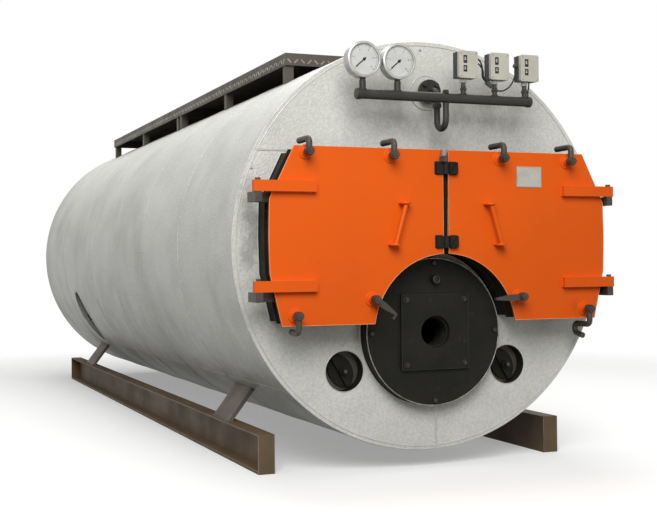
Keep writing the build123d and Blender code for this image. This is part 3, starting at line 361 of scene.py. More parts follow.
def carried(path, profile, normal, closed=False, swell=1.0):
    """Grid of a profile carried along a path: point + s (u across + v up), capped or joined at its ends.

    Up is the normal made square to the path, across is square to both, and s is the swell at that point.
    """
    path = np.asarray(path, float)
    tangent = np.roll(path, -1, 0) - np.roll(path, 1, 0) if closed else np.gradient(path, axis=0)
    across = np.cross(tangent, np.broadcast_to(np.asarray(normal, float), path.shape))
    across /= np.linalg.norm(across, axis=1)[:, None]
    up = np.cross(across, tangent)
    up /= np.linalg.norm(up, axis=1)[:, None]
    u, v = np.asarray(profile, float).T
    swell = np.broadcast_to(np.asarray(swell, float), len(path))[:, None, None]
    grid = path[:, None] + swell * (u[None, :, None] * across[:, None] + v[None, :, None] * up[:, None])
    if closed:
        return np.concatenate([grid, grid[:1]])
    ends = [np.repeat(path[i][None, None], len(u), 1) for i in (0, -1)]
    return np.concatenate([ends[0], grid, ends[1]])


def looped(centre, radius, normal, sides=48):
    """Closed path round a centre: c + r (a cos t + b sin t), a and b square to the normal."""
    normal = np.asarray(normal, float)
    first = np.cross(normal, UP if abs(normal[2]) < 0.9 else BACK)
    first /= np.linalg.norm(first)
    second = np.cross(normal, first)
    turn = (np.arange(sides) * FULL_TURN / sides)[:, None]
    return np.asarray(centre, float) + radius * (first * np.cos(turn) + second * np.sin(turn))


def hoop(centre, radius, bar, sides=48, facets=8):
    """Grid of a round bar carried round a circle that faces the front."""
    return carried(looped(centre, radius, BACK, sides), circle(bar, facets), BACK, True)


def edged(corners, bar):
    """Grids of thin round bars carried along each side of an outline that faces the front."""
    count = len(corners)
    return [carried(corners[[i, (i + 1) % count]], circle(bar, 6), BACK) for i in range(count)]


def saddle(radius, pipe, sides=32):
    """Closed path where an upright stub meets a level pipe along X: (r cos t, r sin t, sqrt(R^2 - y^2))."""
    x, y = spread(radius, np.arange(sides) * FULL_TURN / sides).T
    return np.stack([x, y, np.sqrt(pipe ** 2 - y ** 2)], -1)


def weld(path, leg, normal, closed=False, pitch=0.0072, ripple=0.14):
    """Grid of a weld bead: a round bar along the path whose radius swells as R (1 + d cos(2 pi s / pitch))."""
    path = np.asarray(path, float)
    ring = np.concatenate([path, path[:1]]) if closed else path
    run = np.concatenate([[0], np.cumsum(np.linalg.norm(np.diff(ring, axis=0), axis=1))])
    count = 4 * max(2, round(run[-1] / pitch))
    reach = np.linspace(0, run[-1], count, endpoint=not closed)
    points = np.stack([np.interp(reach, run, ring[:, k]) for k in range(3)], -1)
    return carried(points, circle(leg), normal, closed, 1 + ripple * np.cos(np.arange(count) * np.pi / 2))


def placed(grid, places, axis=UP, across=RIGHT):
    """Copies of a grid, with its +Z along axis and its +X near across, one at each place.

    axis and across may be one vector for all or one for each place.
    """
    places = np.atleast_2d(np.asarray(places, float))
    axis = np.broadcast_to(np.asarray(axis, float), places.shape)
    axis = axis / np.linalg.norm(axis, axis=1)[:, None]
    across = np.broadcast_to(np.asarray(across, float), places.shape)
    side = np.cross(axis, across)
    side /= np.linalg.norm(side, axis=1)[:, None]
    turn = np.stack([np.cross(side, axis), side, axis], 1)
    return np.einsum("rcj,kji->krci", grid, turn) + places[:, None, None]


def door_outline(side, seam=DOOR_SEAM, inset=0.0):
    """Closed path round one door in x and z, moved inwards by an inset with mitred corners.

    Each point moves by d (n1 + n2) / (1 + n1 n2), n1 and n2 being the inward normals of its two edges.
    """
    heights, reaches = np.array(DOOR_EDGE).T
    last = math.asin((DOOR_FOOT - FURNACE_Z) / DOOR_ARCH)
    arch = spread(DOOR_ARCH, np.linspace(math.acos(seam / DOOR_ARCH), last, ARCH_POINTS), (0, FURNACE_Z))
    path = np.concatenate([arch, np.stack([reaches, heights], -1), [(seam, DOOR_TOP)]])
    edge = np.roll(path, -1, 0) - path
    edge /= np.linalg.norm(edge, axis=1)[:, None]
    inward = np.stack([-edge[:, 1], edge[:, 0]], -1)
    before = np.roll(inward, 1, 0)
    path = path + inset * (inward + before) / (1 + (inward * before).sum(1))[:, None]
    return path * [side, 1]


def add_object(name, data):
    """A new object with that data, linked to the scene."""
    made = bpy.data.objects.new(name, data)
    bpy.context.scene.collection.objects.link(made)
    return made


def finish_piece(work, name, finish, slot=None, body="root", sharp=35):
    """Ends a mesh: doubles merged, normals outwards, smooth but for sharp edges, riding on its body."""
    bmesh.ops.remove_doubles(work, verts=work.verts, dist=1e-6)
    bmesh.ops.dissolve_degenerate(work, edges=work.edges, dist=1e-7)
    bmesh.ops.recalc_face_normals(work, faces=work.faces)
    mesh = bpy.data.meshes.new(name)
    work.to_mesh(mesh)
    work.free()
    mesh.shade_smooth()
    mesh.set_sharp_from_angle(angle=math.radians(sharp))
    mesh.materials.append(bpy.data.materials[finish])
    piece = add_object(name, mesh)
    slot = slot or SLOTS[finish]
    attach(piece, body)
    return piece


def make_piece(name, shells, finish, slot=None, body="root", sharp=35):
    """Joins grids into one mesh. Each shell is copies x rows x columns x 3; its columns close on themselves."""
    points, faces, start = [], [], 0
    for shell in shells:
        shell = np.asarray(shell, float)
        shell = shell[None] if shell.ndim == 3 else shell
        copies, rows, columns, _ = shell.shape
        row, column = np.arange(rows - 1)[:, None] * columns, np.arange(columns)[None]
        after = (column + 1) % columns
        quads = np.stack([row + column, row + after, row + columns + after, row + columns + column], -1)
        quads = quads.reshape(-1, 4) + (np.arange(copies) * rows * columns)[:, None, None] + start
        points.append(shell.reshape(-1, 3))
        faces.append(quads.reshape(-1, 4))
        start += copies * rows * columns
    mesh = bpy.data.meshes.new("grids")
    mesh.from_pydata(np.concatenate(points).tolist(), [], np.concatenate(faces).tolist())
    work = bmesh.new()
    work.from_mesh(mesh)
    bpy.data.meshes.remove(mesh)
    return finish_piece(work, name, finish, slot, body, sharp)


def add_node(tree, kind, sockets=(), out=0, **settings):
    """Adds a shader node and gives one of its outputs: settings are its attributes, sockets its inputs.

    An input is named or numbered, and is a value or an output to link.
    """
    made = tree.nodes.new("ShaderNode" + kind)
    for name, value in settings.items():
        setattr(made, name, value)
    for name, value in sockets.items() if isinstance(sockets, dict) else enumerate(sockets):
        if isinstance(value, bpy.types.NodeSocket):
            tree.links.new(value, made.inputs[name])
        else:
            made.inputs[name].default_value = value
    return made.outputs[out] if made.outputs else made


def new_material(name):
    """The node tree of a new material, and the coordinates of its object."""
    material = bpy.data.materials.new(name)
    material.use_nodes = True
    tree = material.node_tree
    tree.nodes.clear()
    return tree, add_node(tree, "TexCoord", out="Object")


def opaque(tone):
    """A colour setting or an sRGB hex value as a linear colour with its alpha."""
    return (*(linear(tone) if isinstance(tone, str) else tuple(tone)[:3]), 1.0)


def layered(tree, base, layers):
    """Colours laid over a base one after another, each as far as its own share reaches."""
    tone = opaque(base)
    for share, over in layers:
        tone = add_node(tree, "Mix", {0: share, 6: tone, 7: opaque(over)}, 2, data_type="RGBA")
    return tone


def blotches(tree, place, size, detail=4.0, band=None, reach=(0.0, 1.0), stretch=(1, 1, 1)):
    """Blotches of one size in metres, stretched along an axis, from one value to another over a band."""
    scaled = add_node(tree, "Mapping", {"Vector": place, "Scale": [1 / (size * s) for s in stretch]})
    sockets = {"Vector": scaled, "Scale": 1.0, "Detail": detail, "Roughness": 0.6}
    pattern = add_node(tree, "TexNoise", sockets, "Fac")
    return add_node(tree, "MapRange", [pattern, *band, *reach], **SMOOTH) if band else pattern


def blot(tree, place, centre, half):
    """A soft blot: one at its centre, nought past its half sizes, by the length of (place - centre) / half."""
    shifted = add_node(tree, "VectorMath", [place, centre], operation="SUBTRACT")
    scaled = add_node(tree, "VectorMath", [shifted, half], operation="DIVIDE")
    away = add_node(tree, "VectorMath", [scaled], "Value", operation="LENGTH")
    return add_node(tree, "MapRange", [away, 0.2, 1.0, 1.0, 0.0], **SMOOTH)


def finish(tree, base, metallic, rough, height=None, depth=0.0, **sockets):
    """Ends a material: principled shader, and a bump of that depth in metres where there is a height."""
    inputs = {"Base Color": base, "Metallic": metallic, "Roughness": rough, **sockets}
    if height is not None:
        inputs["Normal"] = add_node(tree, "Bump", {"Height": height, "Distance": depth, "Strength": 1.0})
    shader = add_node(tree, "BsdfPrincipled", inputs)
    add_node(tree, "OutputMaterial", {"Surface": shader})


def weathered(name, tones, metallic, rough, grain, depth, patch=0.25, dirt=0.62, streak=0.0, gloss=0.5):
    """A worn finish of three tones: the first wanders to the second in patches, the third is dirt.

    Dirt lies in blots, which begin at a level of their pattern, and runs down in streaks 30 mm wide.
    """
    tree, place = new_material(name)
    base, shade, grime = tones
    layers = [
        (blotches(tree, place, patch, band=(0.3, 0.72)), shade),
        (blotches(tree, place, patch * 0.35, 7.0, (dirt, dirt + 0.22)), grime),
    ]
    if streak:
        layers.append((blotches(tree, place, 0.03, 3.0, (0.55, 0.8), (0.0, streak), (1, 1, 14)), grime))
    grains = blotches(tree, place, grain, 2.0)
    shine = blotches(tree, place, patch * 0.5, 5.0, (0.3, 0.7), (rough - 0.07, rough + 0.09))
    finish(tree, layered(tree, base, layers), metallic, shine, grains, depth, **{"Specular IOR Level": gloss})


def stucco_aluminium(settings):
    """Aluminium sheet with an embossed stucco pattern: broken, soft highlights on pale grey metal.

    The real embossing is about 4 mm wide and is drawn at 9 mm, the finest that the render shows.
    Painted shade and soot lie beside the doors and under the gauge pipe. Painted shade darkens the underside
    of the barrel, behind its front face, more towards the bottom.
    """
    tree, place = new_material("stucco_aluminium")
    patches = blotches(tree, place, 0.5, 3.0, (0.3, 0.75), (0.0, 0.28))
    smears = blotches(tree, place, 0.16, 6.0, (0.55, 0.85), (0.0, 0.3), (1, 1, 2.2))
    broken = blotches(tree, place, 0.07, 6.0, (0.38, 0.66), stretch=(1, 1, 1.6))
    layers = [(patches, settings.smudge), (smears, settings.smudge)]
    # Painted shade beside the doors and under the gauge pipe, mixed with soot, broken up by noise
    for centre, half, share in SHADE_AND_SOOT:
        ragged = add_node(tree, "Math", [blot(tree, place, centre, half), broken], operation="MULTIPLY")
        layers.append((add_node(tree, "Math", [ragged, share], operation="MULTIPLY"), "#74736C"))
    layers.append((blotches(tree, place, 0.012, 2.0, (0.35, 0.65), (0.0, 0.22)), "#8F8D85"))
    # Painted shade: the sheet behind the front face gets darker towards the bottom of the barrel
    spot = add_node(tree, "SeparateXYZ", [place]).node.outputs
    behind = add_node(tree, "MapRange", [spot["Y"], FACE + 0.004, FACE + 0.03], **SMOOTH)
    uneven = add_node(tree, "Math", [broken, 0.1, spot["Z"]], operation="MULTIPLY_ADD")
    low = add_node(tree, "MapRange", [uneven, 0.10, 0.80, 0.72, 0.0], **SMOOTH)
    layers.append((add_node(tree, "Math", [low, behind], operation="MULTIPLY"), "#55564F"))
    cells = {"Vector": place, "Scale": 1 / 0.009, "Randomness": 1.0}
    emboss = add_node(tree, "TexVoronoi", cells, "Distance", feature="SMOOTH_F1")
    sag = blotches(tree, place, 0.35, 1.0)
    height = add_node(tree, "Math", [sag, 22.0, emboss], operation="MULTIPLY_ADD")
    rough = add_node(tree, "MapRange", [patches, 0.0, 0.4, 0.40, 0.55], **SMOOTH)
    finish(tree, layered(tree, settings.sheet, layers), 0.12, rough, height, 0.0011)


def woven_rope():
    """Braided glass-fibre rope: two sets of slanting strands about 5 mm wide, off-white and matt."""
    tree, place = new_material("glass_rope")
    strands = []
    for lean in (0.7, -0.7):
        slanted = add_node(tree, "Mapping", {"Vector": place, "Rotation": (0, lean, 0)})
        strands.append(add_node(tree, "TexWave", {"Vector": slanted, "Scale": 60.0, "Distortion": 1.0}, "Fac"))
    braid = add_node(tree, "Math", strands, operation="MULTIPLY")
    finish(tree, layered(tree, "#8E8673", [(braid, "#D5CDB8")]), 0.0, 0.95, braid, 0.001)


def flat_glass():
    """Flat gauge glass: nearly clear, with a sharp reflection."""
    tree, _ = new_material("gauge_glass")
    finish(tree, opaque("#3F3F3F"), 0.0, 0.04, Alpha=0.05)


def make_finishes(settings):
    """All finishes by name. Each is named for its real material."""
    doors, black, pipes = settings.doors, settings.furnace.paint, settings.pipes.paint
    primer, leg, cover = settings.frame.primer, settings.frame.leg, settings.switches.cover
    tread, dial = settings.deck.steel, settings.gauges.dial
    stucco_aluminium(settings.cladding)
    woven_rope()
    flat_glass()
    # Sprayed heat-resistant black on plate: matt, a little browner where dust lies
    weathered("heat_black", (black, "#24231F", "#36332D"), 0.0, 0.6, 0.006, 0.0006, 0.12, 0.60, 0.15, 0.12)
    # Sprayed alkyd enamel: even colour, soft gloss, darker in a few blots
    weathered("orange_enamel", (doors.paint, doors.shade, "#B84A10"), 0.0, 0.45, 0.005, 0.0003, 0.5, 0.68, 0.0, 0.22)
    # Enamel rubbed thin along an edge, primer and steel showing through, paler still as a painted highlight
    weathered("rubbed_and_highlit_enamel", ("#F09050", "#DDAE88", "#C05A2A"), 0.0, 0.45, 0.003, 0.0002, 0.04, 0.6)
    # Steel rubbed bare along the edges of black plates, paler still as a painted highlight
    weathered("rubbed_and_highlit_steel", ("#A8A498", "#6F6B62", "#4B4740"), 0.4, 0.45, 0.003, 0.0002, 0.05, 0.52)
    # Plain aluminium of folded edges and trims: brighter than the embossed sheet
    weathered("bright_sheet", ("#C6C6C0", "#AFAEA7", "#8F8C83"), 0.3, 0.45, 0.004, 0.0002, 0.1, 0.6)
    # Primer rubbed off along a flange with pale dust on it, paler still as a painted highlight
    weathered("rubbed_and_highlit_primer", ("#9C9081", "#7A6E5F", "#5F5344"), 0.1, 0.6, 0.004, 0.0002, 0.1, 0.6)
    # Brown primer on rolled channel, dusty and scuffed
    weathered("brown_primer", (primer, "#584A38", "#7A6C5A"), 0.0, 0.6, 0.006, 0.0004, 0.5, 0.62, 0.12, 0.3)
    # Grey primer on the bent plate of the legs, dirt run down it
    weathered("grey_primer", (leg, "#665C52", "#4E463E"), 0.0, 0.6, 0.006, 0.0004, 0.2, 0.6, 0.3, 0.3)
    # Forged and hot-rolled bar with its scale on: dark, slightly shiny, brown in the pits
    weathered("forged_iron", ("#38322C", "#4C433A", "#6B4B34"), 0.35, 0.5, 0.004, 0.0006, 0.06, 0.62)
    # Boiler plate with mill scale and flash rust
    weathered("boiler_plate", ("#4C4742", "#5D5248", "#74513A"), 0.4, 0.55, 0.005, 0.0003, 0.2, 0.55, 0.3)
    # Weld metal on bare plate: grey with a straw and blue tint
    weathered("weld_metal", ("#6E6A66", "#57595C", "#7A6347"), 0.6, 0.42, 0.002, 0.0002, 0.02, 0.6)
    # Zinc-plated and machined steel: grey with a fine satin
    weathered("zinc_steel", ("#B9B9B6", "#A2A29F", "#6E6C66"), 0.75, 0.38, 0.002, 0.00005, 0.03, 0.66)
    # Moulded ABS of the switch covers, warm grey with a soft sheen
    weathered("moulded_abs", (cover, "#BBB8A9", "#948F80"), 0.0, 0.42, 0.0015, 0.00005, 0.05, 0.7, 0.2, 0.4)
    # Die-cast backs of the switches, painted dark grey
    weathered("cast_grey", ("#3E403D", "#4B4D49", "#2E2F2D"), 0.2, 0.5, 0.002, 0.0002, 0.05, 0.62)
    # Refractory board: chalky, pale and pitted
    weathered("refractory_board", ("#C9BFA8", "#B5A88E", "#6F6251"), 0.0, 0.9, 0.008, 0.001, 0.15, 0.6)
    # Black paint over threaded steel pipe
    weathered("pipe_black", (pipes, "#34322E", "#4D4841"), 0.0, 0.42, 0.003, 0.0003, 0.08, 0.62, 0.0, 0.3)
    # Hot-rolled tread plate under dust
    weathered("tread_steel", (tread, "#4C463C", "#35312B"), 0.2, 0.55, 0.004, 0.0003, 0.2, 0.6)
    # Tops of the tread bars, trodden bright
    weathered("tread_bars", ("#9A958A", "#7C776C", "#565147"), 0.4, 0.45, 0.003, 0.0002, 0.1, 0.6)
    # Etched aluminium label plate, left blank
    weathered("label_plate", ("#B9B6AC", "#A9A69C", "#8A867C"), 0.6, 0.45, 0.002, 0.00005, 0.05, 0.7)
    # White stove enamel of the dials, dulled behind its glass
    weathered("dial_enamel", (dial, "#CFD0CC", "#BEBDB7"), 0.0, 0.45, 0.002, 0.00002, 0.05, 0.7, 0.0, 0.3)
    # Printing ink and black rubber: dark and even
    weathered("ink_black", ("#1A1A19", "#242423", "#2E2E2C"), 0.0, 0.5, 0.002, 0.00002, 0.05, 0.7, 0.0, 0.3)


NODE_FINISH = {
    "cladding": "stucco_aluminium", "door_panel": "orange_enamel", "hinge_arms": "orange_enamel",
    "door_handle": "orange_enamel", "door_lining": "refractory_board", "clamp_hooks": "forged_iron",
    "meeting_lugs": "heat_black", "hinge_brackets": "forged_iron", "hinge_pins": "forged_iron",
    "furnace_front": "heat_black", "burner_plate": "heat_black", "sight_port": "heat_black",
    "smokebox": "heat_black", "pressure_shell": "boiler_plate", "tube_plate": "boiler_plate",
    "smoke_tubes": "boiler_plate", "furnace_tube": "boiler_plate", "manhole": "heat_black",
    "handhole_covers": "heat_black", "gauge_nozzle": "pipe_black", "siphon_pipe": "pipe_black",
    "gauge_manifold": "pipe_black", "pressure_gauges": "zinc_steel", "switch_bodies": "cast_grey",
    "switch_covers": "moulded_abs", "switch_cables": "ink_black", "_skid": "brown_primer",
    "support_legs": "grey_primer", "walkway_deck": "tread_steel", "walkway_posts": "tread_steel",
    "steam_nozzle": "heat_black", "rear_smoke_outlet": "heat_black", "name_plate": "label_plate",
}


class BoilerOperator:
    """What the operators share."""
    bl_options = {"REGISTER", "UNDO"}

    def execute(self, context):
        self.build(context.scene.boiler)
        return {"FINISHED"}


class BOILER_OT_stage(BoilerOperator, bpy.types.Operator):
    """Sets the camera at the photograph's angle, the light and the floor"""
    bl_idname = "boiler.stage"
    bl_label = "Stage"
    eye = (-2.3216, -7.1605, 0.8934)
    turns = (21.903, 0.489, -0.517)
    sensor, sight = 36.0, 200.0
    lamps = (("key_lamp", (-2.4, -7.6, 4.6), 4.0), ("top_lamp", (0.5, 0.5, 6.0), 5.0))
    aim = (0.0, -1.5, 1.0)
    floor_half = 12.0
    fade = (3.2, 5.6)

    def build(self, settings):
        bpy.context.scene.view_settings.view_transform = "Standard"
        self.camera(settings.stage.focal)
        self.light(settings.stage)
        self.floor(settings.stage)

    def camera(self, focal):
        """Camera at its eye, turned by yaw, pitch and roll: the columns of its turn are right, above and behind."""
        yaw, pitch, roll = (math.radians(turn) for turn in self.turns)
        level = math.cos(pitch)
        ahead = np.array([math.sin(yaw) * level, math.cos(yaw) * level, math.sin(pitch)])
        right = np.array([math.cos(yaw), -math.sin(yaw), 0])
        above = np.cross(right, ahead)
        rolled = math.cos(roll) * right + math.sin(roll) * above
        upright = math.cos(roll) * above - math.sin(roll) * right
        lens = bpy.data.cameras.new("camera")
        lens.lens, lens.sensor_width, lens.clip_end = focal, self.sensor, self.sight
        camera = add_object("camera", lens)
        turn = Matrix(np.column_stack([rolled, upright, -ahead]).tolist()).to_4x4()
        camera.matrix_world = Matrix.Translation(self.eye) @ turn
        bpy.context.scene.camera = camera

    def light(self, stage):
        """White background that lights the boiler faintly, and two soft lamps aimed at its middle."""
        world = bpy.data.worlds.new("studio")
        world.use_nodes = True
        tree = world.node_tree
        tree.nodes.clear()
        strength = add_node(tree, "MapRange", [self.seen(tree), 0.0, 1.0, stage.sky, 1.0])
        back = add_node(tree, "Background", {"Color": opaque("#FFFFFF"), "Strength": strength})
        add_node(tree, "OutputWorld", {"Surface": back})
        bpy.context.scene.world = world
        for (name, spot, size), power in zip(self.lamps, (stage.key, stage.top)):
            lamp = bpy.data.lights.new(name, "AREA")
            lamp.size, lamp.energy = size, power
            holder = add_object(name, lamp)
            holder.location = spot
            holder.rotation_euler = (Vector(self.aim) - Vector(spot)).to_track_quat("-Z", "Y").to_euler()

    def floor(self, stage):
        """Plain paper floor: pale where it is seen, dull for the light that it throws back, fading into the white."""
        tree, place = new_material("studio_floor")
        dull = add_node(tree, "BsdfDiffuse", {"Color": opaque(stage.bounce)})
        plain = add_node(tree, "BsdfDiffuse", {"Color": opaque(stage.floor)})
        lift = add_node(tree, "Emission", {"Color": opaque("#FFFFFF"), "Strength": stage.lift})
        pale = add_node(tree, "AddShader", [plain, lift])
        paper = add_node(tree, "MixShader", [self.seen(tree), dull, pale])
        away = add_node(tree, "VectorMath", [place], "Value", operation="LENGTH")
        gone = add_node(tree, "MapRange", [away, *self.fade], **SMOOTH)
        faded = add_node(tree, "MixShader", [gone, paper, add_node(tree, "BsdfTransparent")])
        add_node(tree, "OutputMaterial", {"Surface": faded})
        mesh = bpy.data.meshes.new("floor")
        mesh.from_pydata([(x * self.floor_half, y * self.floor_half, 0) for x, y in -CORNERS], [], [(0, 1, 2, 3)])
        mesh.materials.append(bpy.data.materials["studio_floor"])
        floor = add_object("floor", mesh)

    def seen(self, tree):
        """One for a ray from the camera, a reflection or through glass, nought for light falling on the boiler."""
        path = add_node(tree, "LightPath").node.outputs
        metal = add_node(tree, "Math", [path["Is Camera Ray"], path["Is Glossy Ray"]], operation="MAXIMUM")
        return add_node(tree, "Math", [metal, path["Is Transmission Ray"]], operation="MAXIMUM")


class BOILER_OT_finishes(BoilerOperator, bpy.types.Operator):
    """Makes every finish and gives each CAD node its own"""
    bl_idname = "boiler.finishes"
    bl_label = "Finishes"

    def build(self, settings):
        make_finishes(settings)
        for name, piece in frame["nodes"].items():
            found = [finish_name for part, finish_name in NODE_FINISH.items() if part in name]
            if not found:
                raise RuntimeError(f"no finish for {name}")
            for slot in piece.material_slots:
                slot.material = bpy.data.materials[found[0]]


class BOILER_OT_cladding(BoilerOperator, bpy.types.Operator):
    """Adds the seams, rolled rims, folded edges, trims and rivets of the cladding"""
    bl_idname = "boiler.cladding"
    bl_label = "Cladding seams"
    round_steps = 144
    bead_lead, bead_root = 0.004, 0.004
    rim_back = 0.016
    lap_width, lap_gaps = 0.022, (0.006, 0.018)
    split_start, split_gap = 0.655, 0.012
    seam_across, seam_low, seam_high = 0.036, 0.088, 0.276
    liner_depth, liner_walls = 0.056, (0.0005, 0.003)
    trim_width, trim_rise, trim_bevel = 0.028, 0.002, 0.003
    rivet_lead, front_ring, rear_ring, rear_screws, flue_screws = 0.016, 0.889, 0.870, 16, 8

    def build(self, settings):
        size = settings.cladding
        self.bands(size)
        self.front_seams(size)
        self.hand_holes()
        self.trims(size)
        self.rivets(size)
        self.screws(size)

    def bands(self, size):
        """Swaged beads beside the seams: height H sin t over width W, carried round the barrel."""
        turn = np.arange(self.round_steps + 1) * FULL_TURN / self.round_steps
        wave = np.linspace(0, np.pi, 7)
        rise = np.concatenate([size.bead_height * np.sin(wave), [-self.bead_root]])
        offset = np.concatenate([-size.bead_width / 2 * np.cos(wave), [0.0]])
        round_barrel = out_of(turn)[:, None] * (CLAD_RADIUS + rise[None, :, None])
        beads = []
        for seam in BAND_SEAMS:
            along = FACE + seam - size.bead_width / 2 - self.bead_lead + offset
            beads.append(round_barrel + np.stack([0 * offset, along, AXIS_Z + 0 * offset], -1))
        make_piece("band_beads", beads, "stucco_aluminium")
        rims = []
        for inset, bar, ends in (
            (size.rim / 2, size.rim, (FACE + size.rim, REAR - size.rim)),
            (self.rim_back, size.fold, (FACE, REAR)),
        ):
            rims += [hoop((0, along, AXIS_Z), CLAD_RADIUS - inset, bar, self.round_steps) for along in ends]
        make_piece("rolled_rims", rims, "bright_sheet")
        laps = []
        starts = np.array([0.0, *BAND_SEAMS]) + self.lap_gaps[0]
        stops = np.array([*BAND_SEAMS, REAR - FACE]) - self.lap_gaps[1]
        for start, stop in zip(starts, stops):
            middle = on_barrel((start + stop) / 2, 0.0, 0.0, LAP_LEAN)
            laps.append(placed(lapped(stop - start, self.lap_width, 0.0014, 0.0006), middle, out_of(LAP_LEAN), BACK))
        make_piece("barrel_laps", laps, "stucco_aluminium")

    def front_seams(self, size):
        """Lapped strips level with the split of the front sheets, the upright lap and the folded edges."""
        start = self.split_start
        rim = math.sqrt(CLAD_RADIUS ** 2 - (SPLIT_HEIGHT - AXIS_Z) ** 2) - self.split_gap
        places = front([(side * (rim + start) / 2, SPLIT_HEIGHT) for side in SIDES.values()], 0)
        level = placed(lapped(rim - start, 0.009, 0.002, 0.0008), places, FORWARD)
        low, high = self.seam_low, self.seam_high
        middle = front((self.seam_across, (low + high) / 2), 0)
        upright = placed(lapped(high - low, 0.012, 0.0016, 0.0006), middle, FORWARD, UP)
        make_piece("front_laps", [level, upright], "bright_sheet")
        across, height, radius = HAND_HOLE
        folds = [hoop(place, radius, size.fold) for place in front([(-across, height), (across, height)], 0)]
        folds.append(hoop(front((0, FURNACE_Z), 0)[0], FURNACE_RADIUS + 0.004, size.fold, 96))
        left, right = (door_outline(side, -DOOR_SEAM, 0.014)[ARCH_POINTS:-1] for side in (-1, 1))
        folds.append(carried(front(np.concatenate([left, right[::-1]]), 0), circle(size.fold), BACK))
        make_piece("cut_edges", folds, "bright_sheet")

    def hand_holes(self):
        """Black liners of the hand holes, a short tube inside each cut that darkens its wall, and the stud of each
        cover.
        """
        across, height, radius = HAND_HOLE
        outer, inner = (radius - wall for wall in self.liner_walls)
        low, high = -self.liner_walls[0], self.liner_depth
        tube = turned([(outer, low), (outer, high), (inner, high), (inner, low), (outer, low)], 48)
        places = front([(side * across, height) for side in SIDES.values()], 0)
        make_piece("hand_hole_liners", [placed(tube, places, BACK)], "heat_black")
        feet = places * [1, 0, 1] + [0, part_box("handhole_covers")[0].y + 0.0005, 0]
        make_piece("hand_hole_studs", [placed(disc(0.0085, 0.006, 16), feet, FORWARD)], "forged_iron")

    def trims(self, size):
        """Flat rings round the manhole, the steam pipe and the smoke outlet, carried round an oval on the sheet."""
        turn = (np.arange(97) * FULL_TURN / 96)[:, None]
        width, rise, bevel = self.trim_width, self.trim_rise, self.trim_bevel
        across = np.array([0, 0, bevel, width - bevel, width, width])[None]
        up = np.array([-rise, rise / 2, rise, rise, rise / 2, -rise])[None]
        shells = []
        for along, lean, half in (
            (MANHOLE_ALONG, MANHOLE_LEAN, MANHOLE_HALF),
            (STEAM_ALONG, math.pi / 2, (STEAM_RADIUS, STEAM_RADIUS)),
        ):
            along = along + (half[0] + across) * np.cos(turn)
            shells.append(on_barrel(along, (half[1] + across) * np.sin(turn), up, lean))
        flue = spread(FLUE_RADIUS + across, turn, (0, FLUE_Z))
        shells.append(np.stack([flue[..., 0], REAR + up + 0 * turn, flue[..., 1]], -1))
        make_piece("sheet_trims", shells, "bright_sheet")
        turn = turn[:-1, 0]
        along = MANHOLE_ALONG + MANHOLE_HALF[0] * np.cos(turn)
        edge = on_barrel(along, MANHOLE_HALF[1] * np.sin(turn), 0.0, MANHOLE_LEAN)
        make_piece("manhole_fold", [carried(edge, circle(size.fold), out_of(MANHOLE_LEAN), True)], "bright_sheet")

    def rivets(self, size):
        """Domed rivets along the seams, laps and trims."""
        head = domed(size.rivet / 2, size.rivet * 0.28)
        count = int(FULL_TURN * CLAD_RADIUS / size.rivet_pitch)
        angle = np.arange(count) * FULL_TURN / count
        rows = [
            (on_barrel(seam - size.bead_width - self.rivet_lead, 0.0, 0.0, lean), lean)
            for seam in BAND_SEAMS for lean in angle
        ]
        along = np.arange(0.06, REAR - FACE - 0.02, size.rivet_pitch)
        rows += [(on_barrel(along, 0.0, 0.0008, lean), lean) for lean in (LAP_LEAN, FAR_LAP_LEAN)]
        for along, lean, half, count in (
            (MANHOLE_ALONG, MANHOLE_LEAN, MANHOLE_HALF, 12),
            (STEAM_ALONG, math.pi / 2, (STEAM_RADIUS, STEAM_RADIUS), 6),
        ):
            turn = (np.arange(count) + 0.5) * FULL_TURN / count
            reach, round_way = (side + self.trim_width / 2 for side in half)
            ring = on_barrel(along + reach * np.cos(turn), round_way * np.sin(turn), self.trim_rise, lean)
            rows.append((ring, lean))
        shells = [placed(head, places, out_of(lean), BACK) for places, lean in rows]
        across = self.seam_across
        shells.append(placed(head, front([(across, 0.174), (across - 0.006, 0.112)], 0.0015), FORWARD))
        low = spread(self.front_ring, np.radians([-97.6, -80.3]), (0, AXIS_Z))
        shells.append(placed(head, front(low, 0), FORWARD))
        make_piece("cladding_rivets", shells, "zinc_steel", "cladding_sheet")

    def screws(self, size):
        """Washered screws on the front, on the rear cladding's rim and on the smoke outlet's trim."""
        washer = disc(size.screw / 2, 0.0015, 14)
        screw = hexagon(size.screw * 0.55, 0.005) + [0, 0, 0.0015]
        ends = []
        for count, radius, middle, rise in (
            (self.rear_screws, self.rear_ring, AXIS_Z, 0.0),
            (self.flue_screws, FLUE_RADIUS + self.trim_width / 2, FLUE_Z, self.trim_rise),
        ):
            turn = (np.arange(count) + 0.5) * FULL_TURN / count
            ends.append(front(spread(radius, turn, (0, middle)), FACE - REAR - rise))
        shells = [placed(grid, front(FACE_SCREWS, 0), FORWARD) for grid in (washer, screw)]
        shells += [placed(grid, np.concatenate(ends), BACK) for grid in (washer, screw)]
        make_piece("sheet_screws", shells, "zinc_steel", "cladding_sheet")


